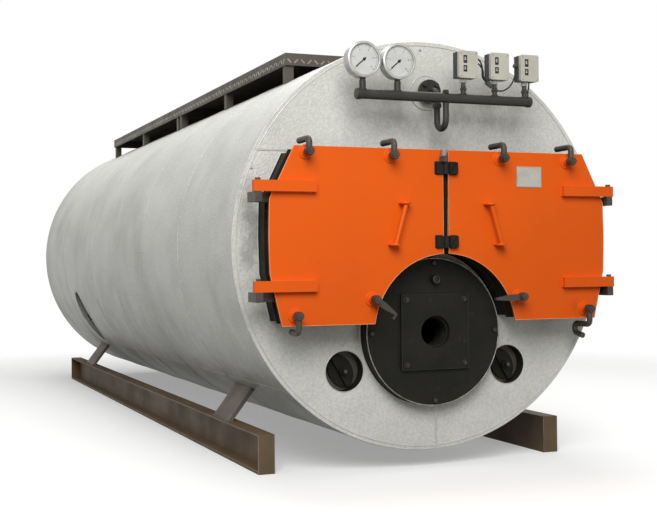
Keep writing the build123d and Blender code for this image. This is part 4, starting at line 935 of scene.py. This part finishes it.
class BOILER_OT_doors(BoilerOperator, bpy.types.Operator):
    """Adds the doors' handles, welds, pale edges (worn, and painted highlights), seal ropes, nuts and the edge of the
    name plate
    """
    bl_idname = "boiler.doors"
    bl_label = "Door fittings"
    arm_half = 0.0225
    lug_start, lug_half = 0.018, (0.050, 0.025)
    boss_rings = ((0.0, 0.0275, 0.8), (0.006, 0.018, 0.7))
    rope_inset, rope_depth = 0.032, 0.0125
    hook_face, washer_face = 0.0663, 0.0561
    lining_face = 0.0555
    plate_face, plate_bar = 0.0033, 0.0012
    stud_across, stud_depth, stud_foot, nut_foot = -0.0145, 0.1983, 1.357, 1.333
    stud_radius, stud_ridge = 0.0127, 0.0005
    handle_tab = (0.048, 0.058, 0.007)
    handle_reach = 0.034
    handle_bar = 0.0095

    def build(self, settings):
        size = settings.doors
        for hand, side in SIDES.items():
            self.edge(hand, side, size.edge)
            self.door_welds(hand, side, size.weld)
            self.handle(hand, side)
            self.lug_welds(hand, side, size.weld * 0.8)
            self.rope(hand, side, size.rope / 2)
            self.fasteners(hand, side)
        self.plate()
        self.meeting_stud()

    def edge(self, hand, side, width):
        """The door's worn edge, a bar carried along its outline, pale for wear and as a painted highlight."""
        bar = carried(front(door_outline(side), DOOR_FACE - width * 0.4), circle(width, 6), BACK, True)
        make_piece(f"{hand}_door_edge", [bar], "rubbed_and_highlit_enamel", body=f"{hand}_door")

    def rope(self, hand, side, radius):
        """The seal rope pressed flat between the door and the smokebox, a bar carried inside its outline."""
        path = front(door_outline(side, -DOOR_SEAM, self.rope_inset), DOOR_FACE - self.rope_depth)
        rope = carried(path, circle(radius, 10) * [1.0, 0.36], BACK, True)
        make_piece(f"{hand}_seal_rope", [rope], "glass_rope", body=f"{hand}_door")

    def door_welds(self, hand, side, leg):
        """Beads round the arms, the bosses of the clamps and the handle's tabs."""
        start, beads = side * ARM_START[hand], []
        for middle in ARM_HEIGHTS:
            edges = (middle - self.arm_half, middle + self.arm_half)
            for height in edges:
                reach = float(np.interp(height, *np.array(DOOR_EDGE).T)) - 0.004
                beads.append(weld(front([(start, height), (side * reach, height)], DOOR_FACE), leg, BACK))
            beads.append(weld(front([(start, height) for height in edges], DOOR_FACE), leg, BACK))
        for across, height in BOSSES[hand]:
            for rise, radius, share in self.boss_rings:
                centre = front((side * across, height), DOOR_FACE + rise)[0]
                beads.append(weld(looped(centre, radius, BACK), leg * share, BACK, True))
        half = self.handle_tab[0] / 2
        for across, height in HANDLE_ENDS:
            run = front([(side * across - half, height), (side * across + half, height)], DOOR_FACE)
            beads.append(weld(run, leg * 0.7, BACK))
        make_piece(f"{hand}_door_welds", beads, "orange_enamel", body=f"{hand}_door", sharp=60)

    def lug_welds(self, hand, side, leg):
        """Beads round the foot of each meeting lug, open towards the middle of the front."""
        near, (far, half) = self.lug_start, self.lug_half
        beads = []
        for middle in LUG_HEIGHTS:
            run = [(side * x, middle + z) for x, z in ((near, half), (far, half), (far, -half), (near, -half))]
            beads.append(weld(front(run, DOOR_FACE), leg, BACK))
        make_piece(f"{hand}_lug_welds", beads, "heat_black", body=f"{hand}_door", sharp=60)

    def fasteners(self, hand, side):
        """Stud ends and washers of the clamps, and the pins that hold the lining inside."""
        bosses = [(side * x, z) for x, z in BOSSES[hand]]
        shells = [
            placed(disc(0.0075, 0.0035, 14), front(bosses, DOOR_FACE + self.hook_face), FORWARD),
            placed(disc(0.0185, 0.0012, 24, 0.0004), front(bosses, DOOR_FACE + self.washer_face), FORWARD),
        ]
        make_piece(f"{hand}_hook_washers", shells, "forged_iron", body=f"{hand}_door")
        pins = front([(side * x, z) for x, z in LINING_PINS], DOOR_FACE - self.lining_face)
        shells = [placed(grid, pins, BACK) for grid in (disc(0.019, 0.002, 18), hexagon(0.013, 0.008) + [0, 0, 0.002])]
        make_piece(f"{hand}_lining_pins", shells, "boiler_plate", body=f"{hand}_door")

    def handle(self, hand, side):
        """Door handle: a round bar between two tabs, each a flat plate with a rounded outer end."""
        width, reach, thick = self.handle_tab
        rows = [(0.001, -thick / 2), (0, -thick / 4), (0, thick / 4), (0.001, thick / 2)]
        tab = slab(width, reach, width * 0.45, rows, 6)
        tabs, ends = [], []
        for (across, height), lean in zip(HANDLE_ENDS, (1, -1)):
            tabs.append(placed(tab, front((side * across, height), DOOR_FACE + reach / 2 - 0.006)))
            ends.append(front((side * across, height - lean * thick * 0.2), DOOR_FACE + self.handle_reach)[0])
        bar = carried(np.linspace(*ends, 9), circle(self.handle_bar, 16), BACK)
        piece = make_piece(f"{hand}_handle_bar", [*tabs, bar], "orange_enamel", body=f"{hand}_door")
        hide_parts(f"{hand}_door_handle")

    def plate(self):
        """The blank name plate's raised edge, a bar carried round its border, and its four rivets."""
        across, height, width, tall = PLATE
        half = np.array([width / 2 - 0.003, tall / 2 - 0.003])
        border = front(CORNERS * half + [across, height], DOOR_FACE + self.plate_face)
        rivets = front(CORNERS * (half - 0.007) + [across, height], DOOR_FACE + self.plate_face)
        make_piece("name_plate_edge", edged(border, self.plate_bar), "zinc_steel", "bright_steel", "right_door")
        heads = placed(domed(0.0035, 0.002), rivets, FORWARD)
        make_piece("name_plate_rivets", [heads], "zinc_steel", "bright_steel", "right_door")

    def meeting_stud(self):
        """The threaded end of the stud between the doors: a turned body with a ridge each 2 mm, and its nut."""
        steps = np.arange(29)
        radii = self.stud_radius + self.stud_ridge * np.where(steps % 2, 1, -1)
        profile = [(0, 0), *zip(radii, steps * 0.001), (0.0115, 0.0295), (0, 0.0295)]
        thread, nut = (front((self.stud_across, foot), self.stud_depth) for foot in (self.stud_foot, self.nut_foot))
        make_piece("stud_thread", [placed(turned(profile), thread)], "zinc_steel", body="left_door")
        make_piece("stud_nut", [placed(hexagon(0.036, 0.024), nut)], "forged_iron", "black_paint", "left_door")


class BOILER_OT_tubes(BoilerOperator, bpy.types.Operator):
    """Adds the expanded and seal-welded ends of the smoke tubes on the front tube plate"""
    bl_idname = "boiler.tubes"
    bl_label = "Tube ends"
    rows = ((1.285, 0.065), (1.170, 0.130), (1.055, 0.065), (0.940, 0.130), (0.825, 0.065))
    pitch = 0.130
    limits = (0.671, 0.416, 0.758)
    radius, bead = 0.0385, 0.003

    def build(self, settings):
        places = []
        side, arch, shell = self.limits
        for height, first in self.rows:
            for across in np.arange(first, side + 0.001, self.pitch):
                if math.hypot(across, height - FURNACE_Z) >= arch and math.hypot(across, height - AXIS_Z) <= shell:
                    places += [(across, height), (-across, height)]
        rings = [hoop(place, self.radius, self.bead, 32, 6) for place in front(places, TUBE_PLATE)]
        make_piece("tube_end_welds", rings, "weld_metal")


class BOILER_OT_furnace(BoilerOperator, bpy.types.Operator):
    """Adds the rim, bolts, refractory ring and sight glass of the furnace front"""
    bl_idname = "boiler.furnace"
    bl_label = "Furnace front"
    rim_bolt_inset = 0.022
    rim_bar, plate_bar, lip_bar = 0.0024, 0.001, 0.0035
    plate_half = 0.163
    tile = ((0.0615, 0), (0.0692, 0), (0.0692, 0.055), (0.0605, 0.055), (0.0615, 0))
    tile_back = 0.020
    glass_radius, lip_radius, port_rise = 0.0108, 0.0145, 0.0045

    def build(self, settings):
        size = settings.furnace
        middle = [0, FURNACE_Z]
        corners = front(CORNERS * size.bolt_half + middle, BURNER_FACE)
        washer = placed(disc(size.bolt * 0.8, 0.0025, 20), corners, FORWARD)
        head = placed(hexagon(size.bolt, size.bolt * 0.62) + [0, 0, 0.0025], corners, FORWARD, (1, 0, 0.3))
        make_piece("burner_bolts", [washer, head], "pipe_black")
        turn = np.arange(4) * FULL_TURN / 4
        rim = front(spread(FURNACE_RADIUS - self.rim_bolt_inset, turn, middle), FURNACE_FACE)
        make_piece("rim_bolts", [placed(hexagon(size.rim_bolt, size.rim_bolt * 0.6), rim, FORWARD)], "pipe_black")
        # The rim's pale ring: bare steel and a painted highlight along the furnace front's edge
        bright = hoop(front(middle, FURNACE_FACE)[0], FURNACE_RADIUS - 0.0008, self.rim_bar, 120)
        make_piece("furnace_rim", [bright], "rubbed_and_highlit_steel")
        border = front(CORNERS * self.plate_half + middle, BURNER_FACE)
        make_piece("burner_edge", edged(border, self.plate_bar), "pipe_black")
        tile = placed(turned(self.tile, 48), front(middle, BURNER_FACE - self.tile_back), BACK)
        make_piece("burner_tile", [tile], "heat_black", "lining_board")
        low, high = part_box("sight_port")
        glass = front(((low.x + high.x) / 2, (low.z + high.z) / 2), FACE - low.y - self.port_rise)
        plate = placed(disc(self.glass_radius, 0.001), glass, FORWARD)
        make_piece("sight_glass", [plate], "ink_black", "instrument_case")
        lip = hoop(glass[0] - [0, self.port_rise, 0], self.lip_radius, self.lip_bar, 32)
        make_piece("sight_ring", [lip], "pipe_black")


class BOILER_OT_gauges(BoilerOperator, bpy.types.Operator):
    """Adds the bezels, dials, scales, numbers and pointers of the pressure gauges"""
    bl_idname = "boiler.gauges"
    bl_label = "Gauges"
    numbers = ("0", "2", "4", "6", "8", "10")
    radius = 0.075
    recess, plate, glass_back = 0.006, 0.0012, 0.0014
    start = math.radians(225)
    tick_gap, number_gap = 0.003, 0.021
    tick_sizes = ((0.010, 0.0018), (0.005, 0.0009))
    pointer_tail = 0.012
    hub = ((0, -0.001), (0.0065, -0.001), (0.0065, 0.0022), (0.005, 0.0028), (0, 0.0028))

    def build(self, settings):
        size = settings.gauges
        low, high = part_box("pressure_gauges")
        centres = np.array([(x, low.y, high.z - self.radius) for x in (low.x + self.radius, high.x - self.radius)])
        inner, outer = self.radius - size.bezel, self.radius
        ring = [
            (inner, -0.002), (inner, 0.0), (inner + 0.0015, 0.0022), (inner + 0.004, 0.003), (outer - 0.003, 0.0022),
            (outer + 0.0006, -0.001), (outer + 0.0006, -0.007), (outer - 0.002, -0.008), (inner, -0.002),
        ]
        make_piece("gauge_bezels", [placed(turned(ring, 64), centres, FORWARD)], "zinc_steel")
        floor = centres + [0, self.recess, 0]
        dial, pane = (disc(inner - 0.0003, self.plate, sides, 0.0002) for sides in (64, 48))
        make_piece("gauge_dials", [placed(dial, floor, FORWARD)], "dial_enamel")
        make_piece("gauge_glasses", [placed(pane, centres + [0, self.glass_back, 0], FORWARD)], "gauge_glass")
        face = floor - [0, self.plate, 0]
        aims = out_of(self.start - np.linspace(0, size.sweep, size.ticks))
        long_tick = np.arange(size.ticks) % 10 == 0
        marks = []
        for chosen, (reach, width) in zip((long_tick, ~long_tick), self.tick_sizes):
            bar = strip(reach, width, -0.0002, 0.0003)
            for centre in face:
                spots = centre + aims[chosen] * (inner - self.tick_gap - reach / 2)
                marks.append(placed(bar, spots, FORWARD, aims[chosen]))
        make_piece("gauge_scales", marks, "ink_black")
        self.numerals([c + aim * (inner - self.number_gap) for c in face for aim in aims[long_tick]], size.numeral)
        aim, tail = -out_of(size.reading), self.pointer_tail
        needle = slab(size.pointer + tail, 0.0045, 0.002, [(0, 0), (0, 0.0010)], 3)
        spots = face + aim * (size.pointer - tail) / 2 + [0, -0.0006, 0]
        shells = [placed(needle, spots, FORWARD, aim), placed(turned(self.hub, 20), face, FORWARD)]
        make_piece("gauge_pointers", shells, "ink_black")

    def numerals(self, spots, height):
        """Numbers of the scale: text made a mesh, then set upright at its spot, (x, y, z) to (x, -z, y)."""
        work = bmesh.new()
        for spot, word in zip(spots, self.numbers * 2):
            curve = bpy.data.curves.new("numeral", "FONT")
            curve.body, curve.size, curve.extrude, curve.resolution_u = word, height, 0.0003, 4
            curve.align_x = curve.align_y = "CENTER"
            holder = add_object("numeral", curve)
            mesh = bpy.data.meshes.new_from_object(holder.evaluated_get(bpy.context.evaluated_depsgraph_get()))
            points = np.empty(len(mesh.vertices) * 3)
            mesh.vertices.foreach_get("co", points)
            x, y, z = points.reshape(-1, 3).T
            mesh.vertices.foreach_set("co", (np.stack([x, -z, y], -1) + spot).ravel())
            work.from_mesh(mesh)
            bpy.data.objects.remove(holder)
            bpy.data.meshes.remove(mesh)
        finish_piece(work, "gauge_numbers", "ink_black")


class BOILER_OT_pipes(BoilerOperator, bpy.types.Operator):
    """Adds the caps, welds, nuts and flange bolts of the gauge pipes"""
    bl_idname = "boiler.pipes"
    bl_label = "Pipe fittings"
    cap = ((0, 0), (0.0228, 0), (0.0240, 0.0015), (0.0240, 0.017), (0.0215, 0.0205), (0, 0.0205))
    cap_back = 0.0175
    union_depth, union_height = 0.112, 1.585
    foot_sink = 0.001
    flange_face, flange_circle = 0.048, 0.040
    rosette, crimps, crimp = 0.0745, 24, 0.014

    def build(self, settings):
        size = settings.pipes
        axis = front((0, PIPE_Z), PIPE_FRONT)[0]
        cap, end = turned(self.cap, 32), PIPE_HALF - self.cap_back
        caps = [placed(cap, axis + [side * end, 0, 0], (side, 0, 0), UP) for side in SIDES.values()]
        make_piece("pipe_caps", caps, "pipe_black")
        rings = []
        for places, radius in zip((GAUGE_STUBS, SWITCH_STUBS), STUB_RADII):
            path = saddle(radius + 0.0012, PIPE_RADIUS) + axis
            rings += [weld(path + [across, 0, 0], size.weld, UP, True, 0.005) for across in places]
        make_piece("pipe_welds", rings, "pipe_black", sharp=60)
        union = front((0, self.union_height), self.union_depth)
        nut = hexagon(size.union, 0.020, 0.08) - [0, 0, 0.010]
        collar = disc(size.union * 0.42, 0.034, 24, 0.002) - [0, 0, 0.017]
        foot = placed(hexagon(0.026, 0.014), axis + [0, 0, PIPE_RADIUS - self.foot_sink])
        make_piece("union_nuts", [placed(nut, union, UP, (1, 0.3, 0)), placed(collar, union), foot], "pipe_black")
        necks = front([(across, GAUGE_NECK) for across in GAUGE_STUBS], PIPE_FRONT)
        make_piece("gauge_nuts", [placed(hexagon(0.023, 0.0092, 0.08), necks, UP, (1, 0.2, 0))], "pipe_black")
        half = self.flange_circle * math.sqrt(0.5)
        corners = front(CORNERS * half + [0, NOZZLE_Z], self.flange_face)
        bolt = hexagon(size.flange_bolt, 0.012)
        make_piece("flange_bolts", [placed(bolt, corners[:3], FORWARD, (1, 0, 0.4))], "pipe_black")
        make_piece("flange_new_bolt", [placed(bolt, corners[3:], FORWARD, (1, 0, 0.1))], "zinc_steel")
        turn = np.arange(192) * FULL_TURN / 192
        reach = self.rosette * (1 + self.crimp * np.cos(self.crimps * turn))
        crimped = carried(front(spread(reach, turn, (0, NOZZLE_Z)), 0.004), circle(0.0028), BACK, True)
        make_piece("nozzle_rosette", [crimped], "bright_sheet")


class BOILER_OT_switches(BoilerOperator, bpy.types.Operator):
    """Adds the windows, scales, screws, sleeves and cable nuts of the pressure switches"""
    bl_idname = "boiler.switches"
    bl_label = "Switches"
    windows = ((-0.015, 0.022, 0.019, 0.034), (-0.015, -0.018, 0.019, 0.028))
    window_depth = 0.003
    screw_half = (0.036, 0.049)
    scale_ticks = 7
    cable_nut = ((0, 0), (0.0062, 0), (0.0066, 0.002), (0.0066, 0.008), (0.0048, 0.012), (0, 0.012))

    def build(self, settings):
        size = settings.switches
        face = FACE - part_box("switch_covers")[0].y
        self.panes(face)
        corners = np.concatenate([CORNERS * self.screw_half + [middle, SWITCH_Z] for middle in SWITCH_MIDDLES])
        screws = front(corners, face)
        head = disc(size.screw / 2, 0.002, 14)
        slot = strip(size.screw * 0.8, 0.001, 0.0019, 0.0021)
        make_piece("cover_screws", [placed(head, screws, FORWARD)], "zinc_steel")
        make_piece("cover_slots", [placed(slot, screws, FORWARD, (1, 0, 0.6))], "ink_black")
        stubs = front([(across, GLAND_FOOT) for across in SWITCH_STUBS], PIPE_FRONT)
        sleeve = hexagon(size.sleeve, 0.016, 0.08) + [0, 0, 0.0145]
        make_piece("gland_sleeves", [placed(sleeve, stubs, UP, (1, 0.2, 0))], "zinc_steel")
        ring = knurled(size.ring, 0.011) - [0, 0, 0.018]
        make_piece("stub_rings", [placed(ring, stubs)], "pipe_black", sharp=20)
        exits = np.array([front((x, z), depth)[0] for x, depth, z in LEAD_EXITS])
        make_piece("cable_nuts", [placed(turned(self.cable_nut, 18), exits, RIGHT, UP)], "ink_black")

    def panes(self, face):
        """Each window from its floor outwards: a dark panel, a pale scale with its marks, and a glass."""
        panels, strips, ticks, glasses = [], [], [], []
        for middle in SWITCH_MIDDLES:
            for across, rise, width, tall in self.windows:
                floor = front((middle + across, SWITCH_Z + rise), face - self.window_depth)
                panels.append(placed(strip(width - 0.0006, tall - 0.0006, 0, 0.0004), floor, FORWARD))
                scale = floor + [0, -0.0004, tall * 0.08]
                strips.append(placed(strip(0.0075, tall * 0.42, 0, 0.0003), scale, FORWARD))
                heights = (np.linspace(-0.5, 0.5, self.scale_ticks) * 0.36 + 0.08) * tall
                spots = floor + np.stack([0 * heights - 0.0015, 0 * heights - 0.0007, heights], -1)
                ticks.append(placed(strip(0.0035, 0.0005, 0, 0.0002), spots, FORWARD))
                pointer = floor + [0, -0.0009, tall * 0.14]
                ticks.append(placed(strip(0.0085, 0.0012, 0, 0.0004), pointer, FORWARD))
                pane = strip(width - 0.0004, tall - 0.0004, 0, 0.0008)
                glasses.append(placed(pane, floor + [0, -0.0020, 0], FORWARD))
        make_piece("switch_windows", panels, "ink_black")
        make_piece("switch_scales", strips, "dial_enamel")
        make_piece("switch_marks", ticks, "ink_black")
        make_piece("switch_glasses", glasses, "gauge_glass")


class BOILER_OT_deck(BoilerOperator, bpy.types.Operator):
    """Adds the raised bars of the walkway's tread plate, on its top and its side plates"""
    bl_idname = "boiler.deck"
    bl_label = "Tread plate"

    def field(self, width, depth, pitch):
        """Places of the bars on a plate, staggered, and which of them lean the other way."""
        across = np.arange(-width / 2 + pitch * 0.6, width / 2 - pitch * 0.4, pitch)
        down = np.arange(-depth / 2 + pitch * 0.6, depth / 2 - pitch * 0.4, pitch)
        row, column = np.meshgrid(np.arange(len(across)), np.arange(len(down)), indexing="ij")
        return across[row].ravel(), down[column].ravel(), ((row + column) % 2).ravel()[:, None]

    def build(self, settings):
        size = settings.deck
        low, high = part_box("walkway_deck")
        middle = (low.y + high.y) / 2
        side_z = high.z - size.fascia / 2
        rows = [(0, -0.0004), (0, 0), (size.bar_width * 0.3, size.rise)]
        bar = slab(size.bar, size.bar_width, size.bar_width * 0.48, rows, 2)
        x, y, odd = self.field(high.x - low.x, high.y - low.y, size.pitch)
        spots = np.stack([x, y + middle, np.full(len(x), high.z)], -1)
        lean = np.where(odd, [1.0, 1.0, 0.0], [1.0, -1.0, 0.0])
        make_piece("tread_top", [placed(bar, spots, UP, lean)], "tread_bars")
        sides = []
        y, z, odd = self.field(high.y - low.y, size.fascia, size.pitch)
        lean = np.where(odd, [0.0, 1.0, 1.0], [0.0, 1.0, -1.0])
        for side, edge in ((-1, low.x), (1, high.x)):
            spots = np.stack([np.full(len(y), edge), y + middle, z + side_z], -1)
            sides.append(placed(bar, spots, (side, 0, 0), lean))
        x, z, odd = self.field(high.x - low.x, size.fascia, size.pitch)
        lean = np.where(odd, [1.0, 0.0, 1.0], [1.0, 0.0, -1.0])
        for end, edge in ((-1, low.y), (1, high.y)):
            spots = np.stack([x, np.full(len(x), edge), z + side_z], -1)
            sides.append(placed(bar, spots, (0, end, 0), lean))
        make_piece("tread_sides", sides, "tread_bars")


class BOILER_OT_frame(BoilerOperator, bpy.types.Operator):
    """Adds the welds of the legs and of the steam flange, and the pale edges of the skids: rubbed primer and painted
    highlights
    """
    bl_idname = "boiler.frame"
    bl_label = "Frame welds"
    weld_pitch = 0.009
    bar, sink = 0.0015, 0.001
    neck_drop = 0.022

    def build(self, settings):
        leg = settings.frame.weld
        head_z = AXIS_Z - math.sqrt(CLAD_RADIUS ** 2 - LEG_HEAD ** 2)
        welds, edges = [], []
        for side in SIDES.values():
            outer, inner = side * LEG_FOOT, side * (LEG_FOOT - LEG_DEPTH)
            for along in LEG_ALONG:
                low, high = FACE + along - LEG_HALF, FACE + along + LEG_HALF
                foot = [(x, y, SKID_TOP) for x, y in ((inner, low), (outer, low), (outer, high), (inner, high))]
                head = [(side * LEG_HEAD, y, head_z) for y in (low, high)]
                welds += [weld(run, leg, UP, False, self.weld_pitch) for run in (foot, head)]
            # Pale bars along the skids' edges: rubbed primer and painted highlights
            rim = SKID_OUTER - self.sink
            start, stop = (FACE + along for along in SKID_SPAN)
            heights = (self.bar, SKID_WALL, SKID_TOP - self.bar)
            runs = [([(side * rim, y, z) for y in (start, stop)], UP) for z in heights]
            runs += [
                ([(side * x, start + self.sink, z) for z in (self.sink, SKID_TOP - self.sink)], RIGHT)
                for x in (rim, SKID_OUTER - SKID_FLANGE)
            ]
            edges += [carried(run, circle(self.bar, 6), normal) for run, normal in runs]
        make_piece("leg_welds", welds, "grey_primer", sharp=60)
        make_piece("skid_edges", edges, "rubbed_and_highlit_primer")
        neck = (0, FACE + STEAM_ALONG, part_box("steam_nozzle")[1].z - self.neck_drop)
        bead = weld(looped(neck, STEAM_RADIUS, UP), leg * 0.8, UP, True)
        make_piece("steam_neck_weld", [bead], "heat_black", sharp=60)


class BOILER_PT_sidebar(bpy.types.Panel):
    """Lists the boiler's operators and settings."""
    bl_label = "Boiler"
    bl_idname = "BOILER_PT_sidebar"
    bl_space_type = "VIEW_3D"
    bl_region_type = "UI"
    bl_category = "Boiler"

    def draw(self, context):
        for operator in OPERATORS:
            self.layout.operator(operator.bl_idname)
        for group in context.scene.boiler.bl_rna.properties:
            if group.type == "POINTER" and group.identifier != "rna_type":
                box = self.layout.box()
                box.label(text=group.name)
                part = getattr(context.scene.boiler, group.identifier)
                for setting in part.bl_rna.properties:
                    if setting.identifier not in ("rna_type", "name"):
                        box.prop(part, setting.identifier)


GROUPS = (
    CladdingSettings, DoorSettings, FurnaceSettings, GaugeSettings, PipeSettings, SwitchSettings, DeckSettings,
    FrameSettings, StageSettings, BoilerSettings,
)
OPERATORS = (
    BOILER_OT_stage, BOILER_OT_finishes, BOILER_OT_cladding, BOILER_OT_doors, BOILER_OT_tubes, BOILER_OT_furnace,
    BOILER_OT_gauges, BOILER_OT_pipes, BOILER_OT_switches, BOILER_OT_deck, BOILER_OT_frame,
)


def register():
    for part in (*GROUPS, *OPERATORS, BOILER_PT_sidebar):
        bpy.utils.register_class(part)
    bpy.types.Scene.boiler = PointerProperty(
        type=BoilerSettings, name="Boiler", description="Settings of the boiler's looks")


def unregister():
    del bpy.types.Scene.boiler
    for part in reversed((*GROUPS, *OPERATORS, BOILER_PT_sidebar)):
        bpy.utils.unregister_class(part)


def main():
    register()
    for operator in OPERATORS:
        name = operator.bl_idname.split(".")[1]
        getattr(bpy.ops.boiler, name)()


if __name__ == "__main__":
    main()
